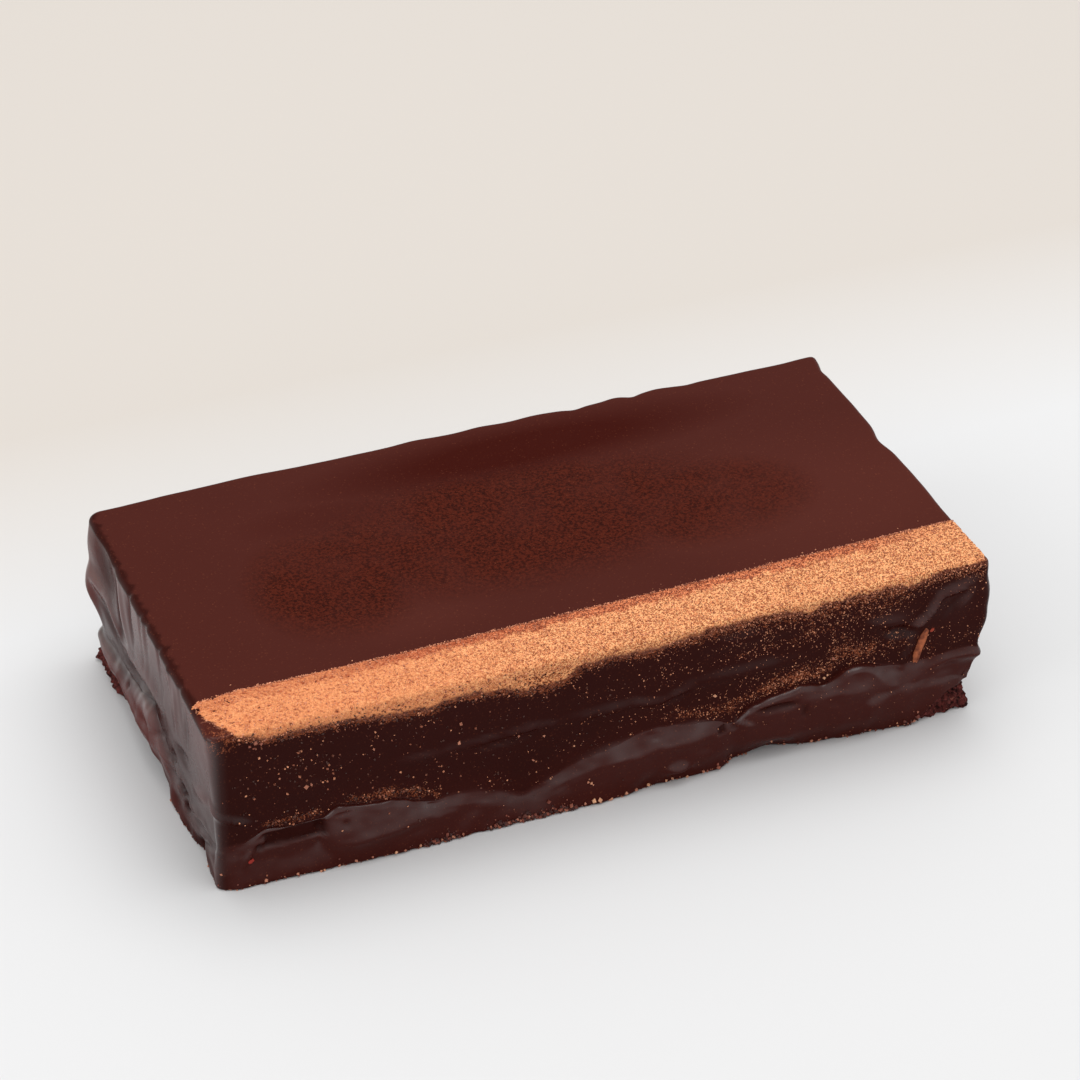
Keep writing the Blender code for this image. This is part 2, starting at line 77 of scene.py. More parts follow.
coat = {
    "stations": 880,  # columns of faces round the girth
    # rings of points inside the top edge
    "topRings": (52, 42, 32, 23, 16, 10, 6.5, 4.5, 3.3, 2.5, 1.8, 1.2, 0.6),
    "upperRows": 40,
    "shoulderRows": 18,
    "footRows": 24,
    # gloss of the ends and back, the left corner, the dusty front, its ledge, and how much more a slope has
    "gloss": {"sides": 0.52, "corner": 0.7, "wall": 0.045, "ledge": 0.16, "slope": 0.75, "endSlope": 0.65},
    # lobes of the ledge: middle, half width, height of the crest, how far it juts out, depth of its shoulder
    "lobes": (
        (21, 12, 15.7, 1.6, 3), (40, 17, 17.4, 2.5, 5.4), (70, 22, 12.4, 1.5, 6.5),
        (124, 30, 18.4, 2.4, 5.4), (163, 16.5, 21.2, 2.5, 5), (184, 10, 23.4, 2, 4.4),
        (213, 24, 20.4, 1.6, 5.5),
    ) + onSide(right, (
        (23, 22, 16.8, 1.8, 5), (59, 23, 13.6, 2, 4.6), (92, 20, 17.4, 1.9, 5),
    )) + onSide(back, (
        (15, 25, 15, 1.8, 5), (54, 26, 18.6, 2.4, 4.8), (92, 22, 13.4, 1.7, 6),
        (130, 30, 16.6, 2.3, 4.8), (172, 21, 19.4, 2.4, 4.6), (202, 17, 14.6, 1.6, 5),
    )) + onSide(left, (
        (16, 24, 14.6, 1.2, 5), (52, 20, 20.4, 1.7, 5), (78, 20, 14, 1, 6), (100, 26, 11, 0.8, 7),
    )),
    # the ledge's line round the left end and along the front: place (below 0 on the left end) and height
    "line": (
        (-111, 12.6), (-100, 13.4), (-90, 14.4), (-82, 15.2), (-75, 16.4), (-66, 18.6), (-59, 21),
        (-54, 22.6), (-50, 21), (-45, 17.4), (-40, 14.6), (-33, 12.4), (-25, 10.8), (-15, 10.2),
        (-6, 11.6), (0, 13.2), (8.8, 12.6), (11.8, 14.4), (13.8, 16.2), (17.8, 15.7), (21.8, 15.1),
        (27.8, 15.3), (30.3, 15.2), (31.8, 16.8), (33.8, 18.1), (35.8, 17.9), (38.8, 17.2),
        (43.6, 16.5), (48.5, 16.2), (53.4, 14.9), (58.3, 12.6), (61.2, 11.5), (63.2, 12), (67.2, 12.5),
        (71.2, 12.1), (76.2, 11), (81.2, 9.2), (85.2, 7.1), (87.2, 6.7), (91.1, 8.8), (96.1, 10.8),
        (99.1, 12.6), (104, 14), (110.9, 15.4), (114.9, 16.5), (117.8, 17.6), (120.8, 18.3),
        (125.7, 18.2), (130.5, 17.8), (134.4, 17.1), (140.2, 16.8), (143.1, 16), (145.1, 14.6),
        (147, 13.8), (148.5, 15), (150, 17), (152, 18.5), (155, 19.4), (160, 20.4), (164, 21.2),
        (167, 21.3), (170, 20.5), (173.5, 19.5), (176, 20.6), (179, 22.8), (182, 23.6), (185, 23.7),
        (188, 22.6), (191, 21.2), (194, 20.2), (198, 19.7), (205, 19.7), (213, 20.4), (221, 21.4),
    ),
    # its shape: place, how far the lip juts and how round it is, depth of the apron and its extra reach
    "shape": (
        (-111, 0.9, 2.8, 4, 0.4), (-80, 1.3, 3, 4, 0.4), (-62, 1.9, 4.2, 4, 0.4), (-52, 1.9, 5, 4, 0.4),
        (-44, 1.2, 4, 5, 0.6), (-33, 0.8, 3, 4, 0.5), (-10, 0.5, 3, 4, 0.4), (0, 0.5, 2.6, 5, 0.5),
        (3, 0.1, 2, 5, 0.6), (8, 0.1, 1.6, 4, 0.5), (12, 0.8, 1, 3, 0.2), (13.8, 0.9, 0.7, 3, 0.1),
        (29.8, 0.9, 0.7, 3, 0.1), (32.8, 1.5, 1.3, 10.5, 2.4), (47.5, 1.5, 1.3, 8, 2.4),
        (56.3, 1.3, 1.4, 4.5, 1.8), (61.2, 1.1, 2, 3.2, 1.2), (71.2, 1.15, 3, 3, 0.9),
        (81.2, 1.1, 2.6, 2.5, 0.6), (87.2, 0.6, 2.6, 2.5, 0.4), (94.1, 1.1, 3, 3.5, 1),
        (107, 1.6, 3.2, 4, 1.3), (118.8, 2.2, 4.4, 4, 1.2), (135.4, 2.2, 4.2, 4, 1.1),
        (143.1, 1.6, 2.4, 3, 0.8), (147, 0.7, 1.5, 2, 0.3), (151, 1.9, 1.2, 2, 0.2),
        (163, 2, 1.3, 5, 0.7), (173, 1.6, 1.3, 6, 1.3), (178, 2, 1.2, 8, 1.6),
        (186, 2.2, 1.2, 8.5, 1.6), (191, 2.2, 4.6, 5, 0.8), (197, 2.2, 6.8, 3, 0.3),
        (202, 1.7, 5.4, 3, 0.1), (206, 1.3, 3.4, 3, 0), (212, 1.1, 2.4, 3, 0), (221, 1.2, 2.2, 3, 0),
    ),
    # how softly the lip leaves the wall, from a crisp rim at 0 to a gentle swelling at 1
    "softness": (
        (-111, 0.9), (-86, 0.85), (-76, 0.4), (-50, 0.35), (-40, 0.8), (0, 0.8), (11.8, 0.3), (14.8, 0),
        (55.3, 0.1), (63.2, 0.9), (108.9, 0.9), (132, 0.85), (141, 0.4), (151, 0.1), (188, 0.15),
        (195, 0.9), (221, 0.8),
    ),
    # second steps lower down: the step's line, how far it juts out and its depth
    "steps": (
        (((11, 9.4), (15, 10.3), (18, 10.6), (23, 10.7), (27, 10.6), (30, 10), (32, 9.4)), 0.32, 0.6),
        (((184, 13), (191, 13.6), (198, 13.8), (205, 13.2), (213, 11.4), (218, 9.6)), 0.8, 3),
    ),
    # flat recesses under the lip: its start and end, the heights of its top and bottom, how deep and how soft
    "recesses": (
        (13.3, 31.4, 15, 10.9, 0.8, 1.2), (27.2, 31, 14.9, 12.4, 0.8, 2.2),
        (151.6, 167, 17.9, 16.4, 0.9, 4.2), (165.8, 169.2, 16.2, 12.4, 0.5, 1.8),
        (141.2, 145.2, 14.6, 12.8, 0.8, 1.3),
    ),
    "lobeDrop": 6.0,  # how far a lobe's line falls from its crest to its half width
    "lowestLine": 7.0,
    # where the foot ends on the ground, out from the leaning wall
    "footReach": (
        (0, 1.6), (7, 3), (40, 3.8), (114, 3.6), (122, 2), (143, 1.8), (149, -1), (160, -2.2),
        (172, 0.4), (181, 1.6), (201, 2.4), (213, 1.9),
    ) + onSide(right, (
        (0, 1.3), (9, 0.4), (42, 2.4), (80, 1.6),
    )) + onSide(back, (
        (0, 1), (23, 2.6), (69, 1.4), (111, 3), (141, 0.8), (176, 2.4), (211, 1.2),
    )) + onSide(left, (
        (0, 1), (5, 1.6), (17, 1.8), (27, 0), (37, -1.8), (46, -2), (60, -3.4), (66, 0.8), (72, 1.9),
        (88, 1.5), (96, -0.4), (102, 1.2), (111, 1.6),
    )),
    # stretches where the coat stops short of the ground: start, end, and the lengths of both ramps
    "bare": ((right - 22, right + 42, 13, 9), (back + 69, back + 99, 6, 6), (left - 4, left + 61, 5, 5)),
    "hemLifts": ((156, 9, 0.9), (back + 126, 10, 0.7)),  # middle, half width, height
    # soft ridges and folds: both ends as place and height, how proud, half width
    "ridges": (
        (31.8, 7.6, 39.7, 7.4, 0.5, 1.6), (38.8, 7.4, 58.3, 9.6, 0.6, 1.6),
        (62.2, 11.4, 77.2, 10.4, 0.5, 1.6), (99.1, 12.4, 118.8, 15.9, 0.6, 1.8),
        (118.8, 16.1, 140.2, 15.4, 0.5, 1.6), (121.8, 13.4, 137.3, 13, 0.7, 1.8),
        (89.2, 8, 100, 10.4, 0.4, 1.6), (126.8, 5, 133.4, 5.2, 2.1, 1.6),
        (147, 14.8, 152.5, 12.6, 0.8, 0.9), (170, 17, 186, 17, 0.7, 1.8),
        (197.2, 19.5, 199.6, 27, 1.5, 1.1), (51.4, 27.6, 65.2, 27.2, 0.7, 1.3),
        (65.2, 27.5, 84.2, 28, 1.1, 1.2), (82.2, 27.9, 90.2, 28.9, 0.8, 1.1),
        (87.2, 29, 97.1, 27.8, 0.9, 1.1), (98.1, 28.5, 118.8, 28.5, 1, 1.3),
        (117.8, 28.5, 126.6, 27, 0.8, 1.2), (126.6, 27, 134.4, 30, 1, 1.2),
        (133.4, 30.5, 166, 30.4, 1, 1.9), (136.3, 42, 164, 41, 0.9, 2.6),
        (71.2, 26.4, 89.2, 26.6, -0.8, 1.5), (125.7, 25.8, 133.4, 28.2, -0.9, 1),
        (127.6, 19.6, 134.4, 18.8, 0.3, 0.6), (-3, 26, 2.2, 23, 1, 1.1),
        (1.8, 23.2, 10.6, 18.8, 1.3, 0.9), (28, 7.4, 29, 10.2, -0.5, 0.8),
        (8.4, 6.4, 11, 11.8, 0.8, 0.9), (11, 12.2, 15.2, 13, 0.6, 0.8),
        (17.8, 26.6, 31.8, 26, 0.7, 2.6), (199.5, 31.6, 203.5, 34.4, 2.1, 1),
        (203.5, 34.4, 207, 40.4, 2.3, 1), (207, 40.4, 215, 43.4, 1.8, 1.1),
        (212, 41, 219.5, 45, 0.9, 1.6), (208, 32.5, 212.5, 39.5, -0.8, 1.4),
        (212.8, 36, 216.6, 41.6, 1.1, 0.9), (192, 32, 201, 30.5, -1.9, 1.7),
        (185, 36.5, 198, 34.6, 1.1, 1.7), (191, 43, 209, 45, -0.4, 2),
    ) + onSide(right, (
        (-2, 18.5, 6, 19, 1.7, 2), (26, 34, 50, 30, 1, 1.4), (49, 30.2, 74, 32, 0.8, 1.3),
        (14, 43, 10, 26, 0.9, 1.3), (36, 25, 60, 22.5, 0.7, 1.2), (80, 40, 94, 34, 1, 1.2),
        (93, 34.2, 104, 25, 1.1, 1.1), (68, 8, 88, 11, 0.7, 1.4),
    ), (0, 2)) + onSide(back, (
        (21, 28, 52, 29.5, 1, 1.3), (51, 29.5, 81, 28, 0.8, 1.5), (101, 33, 124, 29, 1, 1.2),
        (123, 29.2, 150, 30.5, 0.9, 1.4), (161, 37, 178, 32, 1.1, 1.1), (177, 32.2, 199, 33, 0.8, 1.4),
        (8, 42, 17, 30, 1.1, 1.2), (88, 9, 112, 11.5, 0.7, 1.4), (36, 10.5, 60, 13.5, 0.7, 1.5),
        (150, 10, 176, 14, 0.7, 1.5),
    ), (0, 2)) + onSide(left, (
        (2, 31.5, 18, 30.5, 1.2, 2.4), (17, 30.5, 29, 25.5, 0.9, 1.8), (28, 47, 30, 27, -0.9, 1.5),
        (33, 46, 36, 28, 0.7, 2.2), (40, 47, 42, 33, -0.5, 1.4), (8, 26, 26, 20, -0.6, 2),
        (4, 29, 9, 15, 0.7, 1.5), (31, 18.6, 46, 21.4, -1.1, 1.7), (44, 21.2, 60, 24, -1.8, 1.8),
        (30, 24.5, 48, 26.5, 0.6, 1.5), (1, 9.8, 30, 9.6, 0.9, 2), (28, 9.8, 60, 12, 0.9, 2.2),
        (60, 15, 68, 19.5, -0.5, 0.8), (70, 14.5, 74, 18, -0.8, 0.9), (76, 21.5, 87, 25.5, -0.8, 1.6),
        (64, 13.4, 86, 14, 0.8, 1.6), (80, 8.5, 100, 13.5, 0.8, 1.5), (92, 20, 107, 26, 0.7, 1.8),
        (96, 6, 106, 9.5, -0.6, 1), (81, 44, 79, 28, 0.4, 1.6), (90, 44, 88, 30, -0.5, 1.6),
    ), (0, 2)),
    # broad swellings and hollows: place, height, half width, half height, distance out
    "swells": onSide(right, (
        (0, 47, 5, 1.8, 0.5), (1, 38, 8, 6, 2.3), (0, 29, 8, 5.5, 1.9), (1, 8, 8, 6.5, -4.4),
    )) + onSide(left, (
        (0, 39, 8, 6, 1.1), (0, 26, 8, 6.5, 3.2), (0, 13, 7, 3.5, -0.8), (0, 6.5, 7, 3, -1.2),
    )) + (
        (36.3, 16.2, 2.4, 0.6, -0.5), (59.7, 10.8, 2, 0.8, -0.7), (124.5, 16.2, 3.6, 1.1, -0.8),
        (113, 13.2, 5, 2, 0.5), (118.5, 15, 2.6, 1.3, -0.4), (134, 15.6, 4, 1.6, 0.5),
        (213, 15.2, 8, 2.6, -1.2),
    ) + onSide(left, (
        (19, 44, 9, 9, -1.1), (55, 29, 12, 4, 0.7),
    )),
    # pits left by burst bubbles: place, height, radius, depth
    "pits": (
        (12.5, 11.3, 0.9, 1.2), (36, 13.4, 0.9, 0.5), (147, 13, 0.8, 0.4),
    ) + onSide(left, (
        (81.5, 11.2, 1.7, 1.3), (85, 8.4, 1.6, 1.2), (73, 15.4, 1.1, 0.6), (35, 13.4, 0.9, 0.5),
        (96.5, 3.6, 2.2, 1.6),
    )),
    # dull places on the ends: place, height, half width, half height
    "dull": onSide(left, (
        (13, 47, 5, 9), (22, 46, 6, 11), (17, 40, 8, 5.5), (50, 21.9, 9, 2.2), (38, 18.8, 8, 1.8),
        (60, 23.6, 5, 2.2), (20, 3.6, 22, 1.8), (50, 4.4, 14, 1.8), (84, 1.6, 24, 1.9),
        (81.5, 11.2, 2.2, 1.7), (85, 8.4, 2.2, 1.7), (96.5, 4, 4, 2.4), (29, 37, 1.4, 9),
        (41, 44, 1.1, 5), (82, 22, 6, 2), (20, 22, 9, 4),
    )),
    # and glossier ones
    "bright": onSide(left, (
        (5, 37, 2.6, 10), (36, 36, 3.5, 10), (15, 32, 9, 1.8), (9, 20, 1.5, 6), (52, 18.4, 8, 2.6),
    )),
    # glossy lines along folds and lips: both ends, how glossy, half width
    "streaks": (
        (199.5, 32.2, 203.5, 35, 0.62, 1), (203.5, 35, 207, 41, 0.5, 0.9), (207, 41, 215, 44, 0.3, 1),
        (212.8, 36.4, 216.6, 42, 0.26, 0.8), (190, 38.4, 198, 36.4, 0.12, 1.8),
        (209, 30, 216, 40, 0.07, 5), (40, 12.5, 52, 11.5, 0.07, 3), (51.4, 28.1, 65.2, 27.7, 0.08, 0.8),
        (82.2, 28.4, 90.2, 29.4, 0.12, 0.7), (118, 28.9, 126.6, 27.5, 0.1, 0.7),
        (126.6, 27.5, 134.4, 30.5, 0.12, 0.7), (109, 15.6, 118, 17.4, 0.1, 0.8),
        (130, 17.6, 139, 16.9, 0.14, 0.8), (38, 17, 48, 16, 0.12, 0.5), (154, 19, 169, 20.8, 0.12, 0.5),
        (178, 22.4, 186, 23.2, 0.16, 0.5), (180, 18, 202, 17, 0.1, 2.6),
        (151, 17, 163, 19.2, 0.09, 1.6),
    ) + onSide(left, (
        (4, 44, 8, 33, 0.2, 1.2), (8, 33, 24, 30, 0.26, 0.8), (24, 30, 46, 25.5, 0.2, 0.8),
    ), (0, 2)),
    # waves of the top edge seen from above: place, distance out, half width
    "edgeWaves": onSide(right, (
        (5, 0.3, 9), (64, -1.6, 5), (96, -0.5, 12), (103, -0.6, 2.5),
    )) + onSide(back, (
        (2, 0.8, 6), (41, -0.5, 3), (50, 0.8, 4.5), (58, -0.8, 2.2), (63, 0.8, 3.5), (76, -1, 3),
        (88, 0.6, 6), (104, 0.7, 5), (124, 0.8, 6), (172, 0.6, 9),
    )) + onSide(left, (
        (-5, -1.3, 13), (42, -0.8, 1.1), (52, -0.5, 1), (56.5, -0.7, 1.6), (68, -0.7, 0.9),
        (77, 0.4, 1.4), (86, -0.5, 1.2),
    )),
    "waveDepth": 9.0,
    # the wall is duller along the hem, and up to this high around one place of the left end: its half width
    "dullHem": (left + 50, 5.5, 24),
    "warmWall": (85, 60),  # the front wall just above the ledge is painted browner here, as painted sheen: middle and half width
}


def smooth(t):
    t = np.clip(t, 0.0, 1.0)
    return t * t * (3.0 - 2.0 * t)


def along(table, x):
    places, values = np.array(table, float).T
    return np.interp(x, places, values)


def around(s, middle):
    return (s - middle + girth / 2) % girth - girth / 2  # signed distance the short way round


def bell(distance):
    return np.exp(-(distance**2))


def lumps(points, size):
    # soft noise, about -0.6 to 0.6, whose lumps are roughly size across
    flat = points.reshape(-1, 3) / size
    return np.array([noise.noise(p) for p in flat.tolist()]).reshape(points.shape[:-1])


def planPoint(s, inset=0.0, radii=cake["cornerRadii"]):
    # point and outward normal at s on a rounded rectangle inset within the bar's plan
    s = np.mod(s, girth)
    side = np.searchsorted(sideStart, s, side="right") - 1
    along = sideAlong[side]
    out = np.stack((along[..., 1], -along[..., 0]), -1)
    half = sideLength[side] / 2 - inset
    t = ((s - sideStart[side]) / sideLength[side] * 2 - 1) * half
    end = np.where(t > 0, 1.0, -1.0)
    radius = np.minimum(np.array(radii)[(side + (t > 0)) % 4], 0.8 * (cake["width"] / 2 - inset))
    over = (np.abs(t) - (half - radius)) / radius
    turn = np.maximum(over, 0.0) * pi / 4
    flat = np.where(over <= 0, t, end * (half - radius))
    normal = out * np.cos(turn)[..., None] + along * (end * np.sin(turn))[..., None]
    reach = halfAcross[side] - inset - radius
    return along * flat[..., None] + out * reach[..., None] + normal * radius[..., None], normal


def footReach(s):
    table = coat["footReach"]
    s = np.mod(s, girth)
    index = np.clip(np.searchsorted([place for place, _ in table], s, side="right") - 1, 0, len(table) - 2)
    places, reaches = np.array(table).T
    t = (s - places[index]) / (places[index + 1] - places[index])
    return reaches[index] + (reaches[index + 1] - reaches[index]) * smooth(t)


def softened(table, column, reach):
    # one column of a table read every half millimetre, with its corners rounded
    even = np.interp(np.arange(-cake["width"], right + 0.5, 0.5), *np.array(table, float).T[[0, column]])
    window = np.hanning(2 * reach + 3)[1:-1]
    return np.convolve(np.pad(even, reach, mode="edge"), window / window.sum(), mode="valid")


shownLedge = np.array([softened(coat["line"], 1, 2)] + [softened(coat["shape"], c, 4) for c in (1, 2, 3, 4)])


def ledge(s):
    # height of the ledge's line at s, its lip's jut and roundness, and its apron's depth and extra reach
    middles, halves, crests, juts, rolls = np.array(coat["lobes"]).T[:, :, None]
    lines = crests - coat["lobeDrop"] * (around(s[None], middles) / halves) ** 2
    second, top = np.sort(lines, axis=0)[-2:]
    weights = np.exp((lines - top) / 0.8)  # near a crossing both lobes count, and the lip dips there
    weights /= weights.sum(0)
    jut = (weights * juts).sum(0) * (1.0 - 0.45 * np.exp((second - top) / 1.2))
    roll = (weights * rolls).sum(0)
    found = np.array((np.maximum(top, coat["lowestLine"]), 0.65 * jut, 0.45 * roll, roll, 0.5 * jut))
    place = np.mod(s, girth)
    place = np.where(place > left, place - girth, place)
    shown = np.array([np.interp((place + cake["width"]) * 2, np.arange(len(row)), row) for row in shownLedge])
    found += (shown - found) * smooth((right - place) / 4.0) * smooth((place + cake["width"]) / 4.0)
    found[0] += 0.3 * lumps(np.stack((s, s * 0, s * 0), -1), 3.0)
    return found


def softLip(s):
    place = np.mod(s, girth)
    return along(coat["softness"], np.where(place > left, place - girth, np.minimum(place, right)))


def quarterRound(depth):
    depth = np.clip(depth, 0.0, 1.0)
    return np.sqrt(depth * (2.0 - depth))


def bare(s):
    most = np.zeros_like(s)
    for start, end, rise, fall in coat["bare"]:
        away = around(s, (start + end) / 2)
        ramp = np.where(away < 0, rise, fall)
        most = np.maximum(most, ((end - start) / 2 - np.abs(away)) / ramp)
    return np.minimum(most, 1.0)


def rimHeight(s):
    hem = sum(high * smooth(1 - np.abs(around(s, c)) / half) for c, half, high in coat["hemLifts"])
    return np.maximum((cake["baseHeight"] + 0.5) * smooth(bare(s)), hem)


def fromLine(x, z, run, rise):
    # how far along a line that leaves the origin a place is, from 0 to 1, and its distance from the line
    t = np.clip((x * run + z * rise) / (run * run + rise * rise), 0.0, 1.0)
    return t, np.hypot(x - t * run, z - t * rise)


def ridgeOffset(s, z, ridges):
    total = 0.0
    for s0, z0, s1, z1, proud, half in ridges:
        t, distance = fromLine(around(s, s0), z - z0, s1 - s0, z1 - z0)
        total = total + proud * bell(distance / half) * (0.35 + 0.65 * np.sin(pi * t))
    return total


def swellOffset(s, z, swells):
    # swells without a distance of their own count 1
    return sum(
        np.prod(out) * bell(np.hypot(around(s, c) / half, (z - high) / tall))
        for c, high, half, tall, *out in swells
    )


def pitted(s, z, deepest=9.0):
    return sum(
        min(depth, deepest) * bell(np.hypot(around(s, c), z - high) / radius)
        for c, high, radius, depth in coat["pits"]
    )


def recessed(s, z):
    # depth of the flat recesses
    total = 0.0
    for start, end, high, low, deep, soft in coat["recesses"]:
        ends = smooth((s - start) / soft) * smooth((end - s) / soft)
        border = 0.4 * soft
        total = total + deep * ends * smooth((high - z) / border + 0.5) * smooth((z - low) / border + 0.5)
    return total


def sunken(s, z):
    # how far inside a recess or a pit a place is, from 0 to 1
    return np.clip(recessed(s, z) / 0.9 + pitted(s, z, 1.0), 0.0, 1.0)


def wallOffset(s, z):
    # how far the coat's wall stands out of the upright plan; s has one row, z a row for each height
    point, normal = planPoint(s)
    lean = -(cake["endLean"] * normal[:, 0] ** 2 + cake["sideLean"] * normal[:, 1] ** 2)
    lean = lean * (1.0 - z / cake["height"])
    line, jut, roll, depth, more = ledge(s)
    below = line - z
    apron = 1.0 - (1.0 - np.clip((below - 0.4 * roll) / depth, 0.0, 1.0)) ** 1.4
    soft = softLip(s)
    lip = (1.0 - soft) * quarterRound(below / roll) + soft * smooth(below / roll)
    shoulder = jut * lip + more * apron
    reached = jut + more
    for points, out, deep in coat["steps"]:
        places, levels = np.array(points).T
        shown = smooth((s - places[0]) / 3.0) * smooth((places[-1] - s) / 2.5)
        shoulder = shoulder + out * shown * quarterRound((np.interp(s, places, levels) - z) / deep)
        reached = reached + out * shown
    foot = (footReach(s) - reached) * smooth(1.0 - z / np.minimum(line - 1.0, 8.0))
    waves = sum(out * bell(around(s, c) / half) for c, out, half in coat["edgeWaves"])
    waves = waves * np.exp((z - cake["height"]) / coat["waveDepth"])
    place = np.dstack(np.broadcast_arrays(point[:, 0], point[:, 1], z))
    calm = smooth((normal[:, 0] * -1.0 - 0.5) / 0.4) * smooth((z - line - 2.0) / 4.0)  # the left end
    rough = 0.45 * lumps(place, 17.0) + 0.25 * lumps(place, 7.0) * (1.0 - 0.6 * calm)
    rough = rough * (0.35 + 0.65 * smooth((cake["height"] - z) / 8.0))
    fine = 0.045 * lumps(place, 2.6) * smooth((cake["height"] - z) / 5.0) * (1.0 - 0.8 * calm)
    fine = fine + 0.45 * lumps(place + 50.0, 5.0) * smooth(below / 2.0)
    fine = fine + 0.3 * lumps(place, 1.3) * smooth(1.0 - z / 2.2)
    folds = ridgeOffset(s, z, coat["ridges"]) + swellOffset(s, z, coat["swells"])
    return lean + shoulder + foot + waves + rough + folds + fine - pitted(s, z) - recessed(s, z)


def makeObject(name, bm):
    mesh = bpy.data.meshes.new(name)
    bm.to_mesh(mesh)
    bm.free()
    mesh.shade_smooth()
    made = bpy.data.objects.new(name, mesh)
    scene.collection.objects.link(made)
    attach(made, "root")
    return made


def mark(mesh, name, values):
    mesh.attributes.new(name, "FLOAT", "POINT").data.foreach_set("value", values)


def pointsOf(mesh):
    co = np.zeros(len(mesh.vertices) * 3)
    mesh.vertices.foreach_get("co", co)
    return co


def wrappedGrid(columns, rows, places, values=None):
    # a grid rolled up into a ring, whose points go to places[row, column] and take the values there
    bm = bmesh.new()
    bmesh.ops.create_grid(bm, x_segments=columns, y_segments=rows, size=1.0)
    layers = [(bm.verts.layers.float.new(name), table) for name, table in (values or {}).items()]
    for v in bm.verts:
        column = round((v.co.x + 1) / 2 * columns) % columns
        row = round((v.co.y + 1) / 2 * rows)
        v.co = Vector(places[row, column]) * mm
        for layer, table in layers:
            v[layer] = table[row, column]
    bmesh.ops.remove_doubles(bm, verts=[v for v in bm.verts if v.is_boundary], dist=1e-7)
    return bm


def topHeight(x, y):
    # the flat top is a little wavy under its glaze, except on its middle line
    place = np.stack(np.broadcast_arrays(x, y, 0.0), -1)
    return cake["height"] - 0.06 + 0.1 * lumps(place, 34.0) * smooth(np.abs(y) / 6.0 - 0.6)


def closeAt(bm, z):
    # fills the opening whose border is at this height
    border = [e for e in bm.edges if e.is_boundary and all(abs(v.co.z - z * mm) < 0.5 * mm for v in e.verts)]
    bmesh.ops.holes_fill(bm, edges=border, sides=0)


def glossValues(s, z, out, rim, topRows, shape):
    # how glossy the wall is: nearly matt under the dust on the front, satin where the ledge faces up
    point, normal = planPoint(s)
    line, _, roll, _, _ = ledge(s)
    kinds = coat["gloss"]
    deep = sunken(s, z)
    side = smooth((-normal[:, 1] - 0.55) / 0.4) * smooth((s - 0.8) / 4.6) * (s < right)
    steep = np.gradient(out, axis=0) / np.gradient(z, axis=0)
    slope = smooth((-steep / np.hypot(1.0, steep) - 0.06) / 0.5)
    onLedge = smooth((line[None] + 0.8 - z) / 1.2)
    low = 0.22 + 0.78 * smooth((z - 1.5) / 6.5)
    streaks = ridgeOffset(s, z, coat["streaks"])
    place = np.dstack(np.broadcast_arrays(point[:, 0], point[:, 1], z * 2.0))
    patchy = 0.85 + 0.75 * lumps(place, 9.0) + 0.45 * lumps(place, 3.5)
    front = kinds["wall"] + (kinds["ledge"] - kinds["wall"]) * onLedge * low
    front = front + kinds["slope"] * slope * (0.55 + 0.45 * onLedge) * low * patchy + streaks

    corner = 2.0 * np.abs(normal[:, 0] * normal[:, 1]) * bell(around(s, -1.0) / 5.5)
    dull = np.minimum(swellOffset(s, z, coat["dull"]), 1.0)
    face = smooth((line[None] - 0.8 * roll[None] - z) / 1.6)  # the upright face below the ledge's lip
    middle, high, half = coat["dullHem"]
    hem = (rim + high * bell(around(s, middle) / half)) * smooth((s - left - 20.0) / 8.0)
    others = kinds["sides"] * (1.0 - 0.8 * dull) * (1.0 + 0.3 * swellOffset(s, z, coat["bright"]))
    others = others * (1.0 - 0.25 * face)
    others = others * (0.2 + 0.8 * smooth((z - hem[None] - 3.4) / 2.4))  # duller along the hem
    others = others + kinds["corner"] * corner + kinds["endSlope"] * slope * low + streaks

    values = {name: np.zeros(shape) for name in ("gloss", "ledge", "sunken")}
    wallRows = slice(topRows, topRows + len(z))
    values["gloss"][wallRows] = (others + (front - others) * side) * (1.0 - 0.9 * deep)
    for k in range(6):
        values["gloss"][len(coat["topRings"]) + k] = values["gloss"][topRows] * k / 6  # round the top edge
    # painted sheen: the ledge, the wall just above it here and the glossy streaks get a lighter, browner
    # colour
    middle, half = coat["warmWall"]
    nearLedge = smooth((line[None] + 10.0 - z) / 9.0) * bell(around(s, middle) / half)
    ledgeSheen = np.maximum(onLedge, 0.35 * nearLedge) + 2.4 * streaks
    values["ledge"][wallRows] = np.clip(ledgeSheen, 0.0, 1.0) * side
    # how far inside a recess or pit: darkens the colour there as painted shade
    values["sunken"][wallRows] = deep
    return values


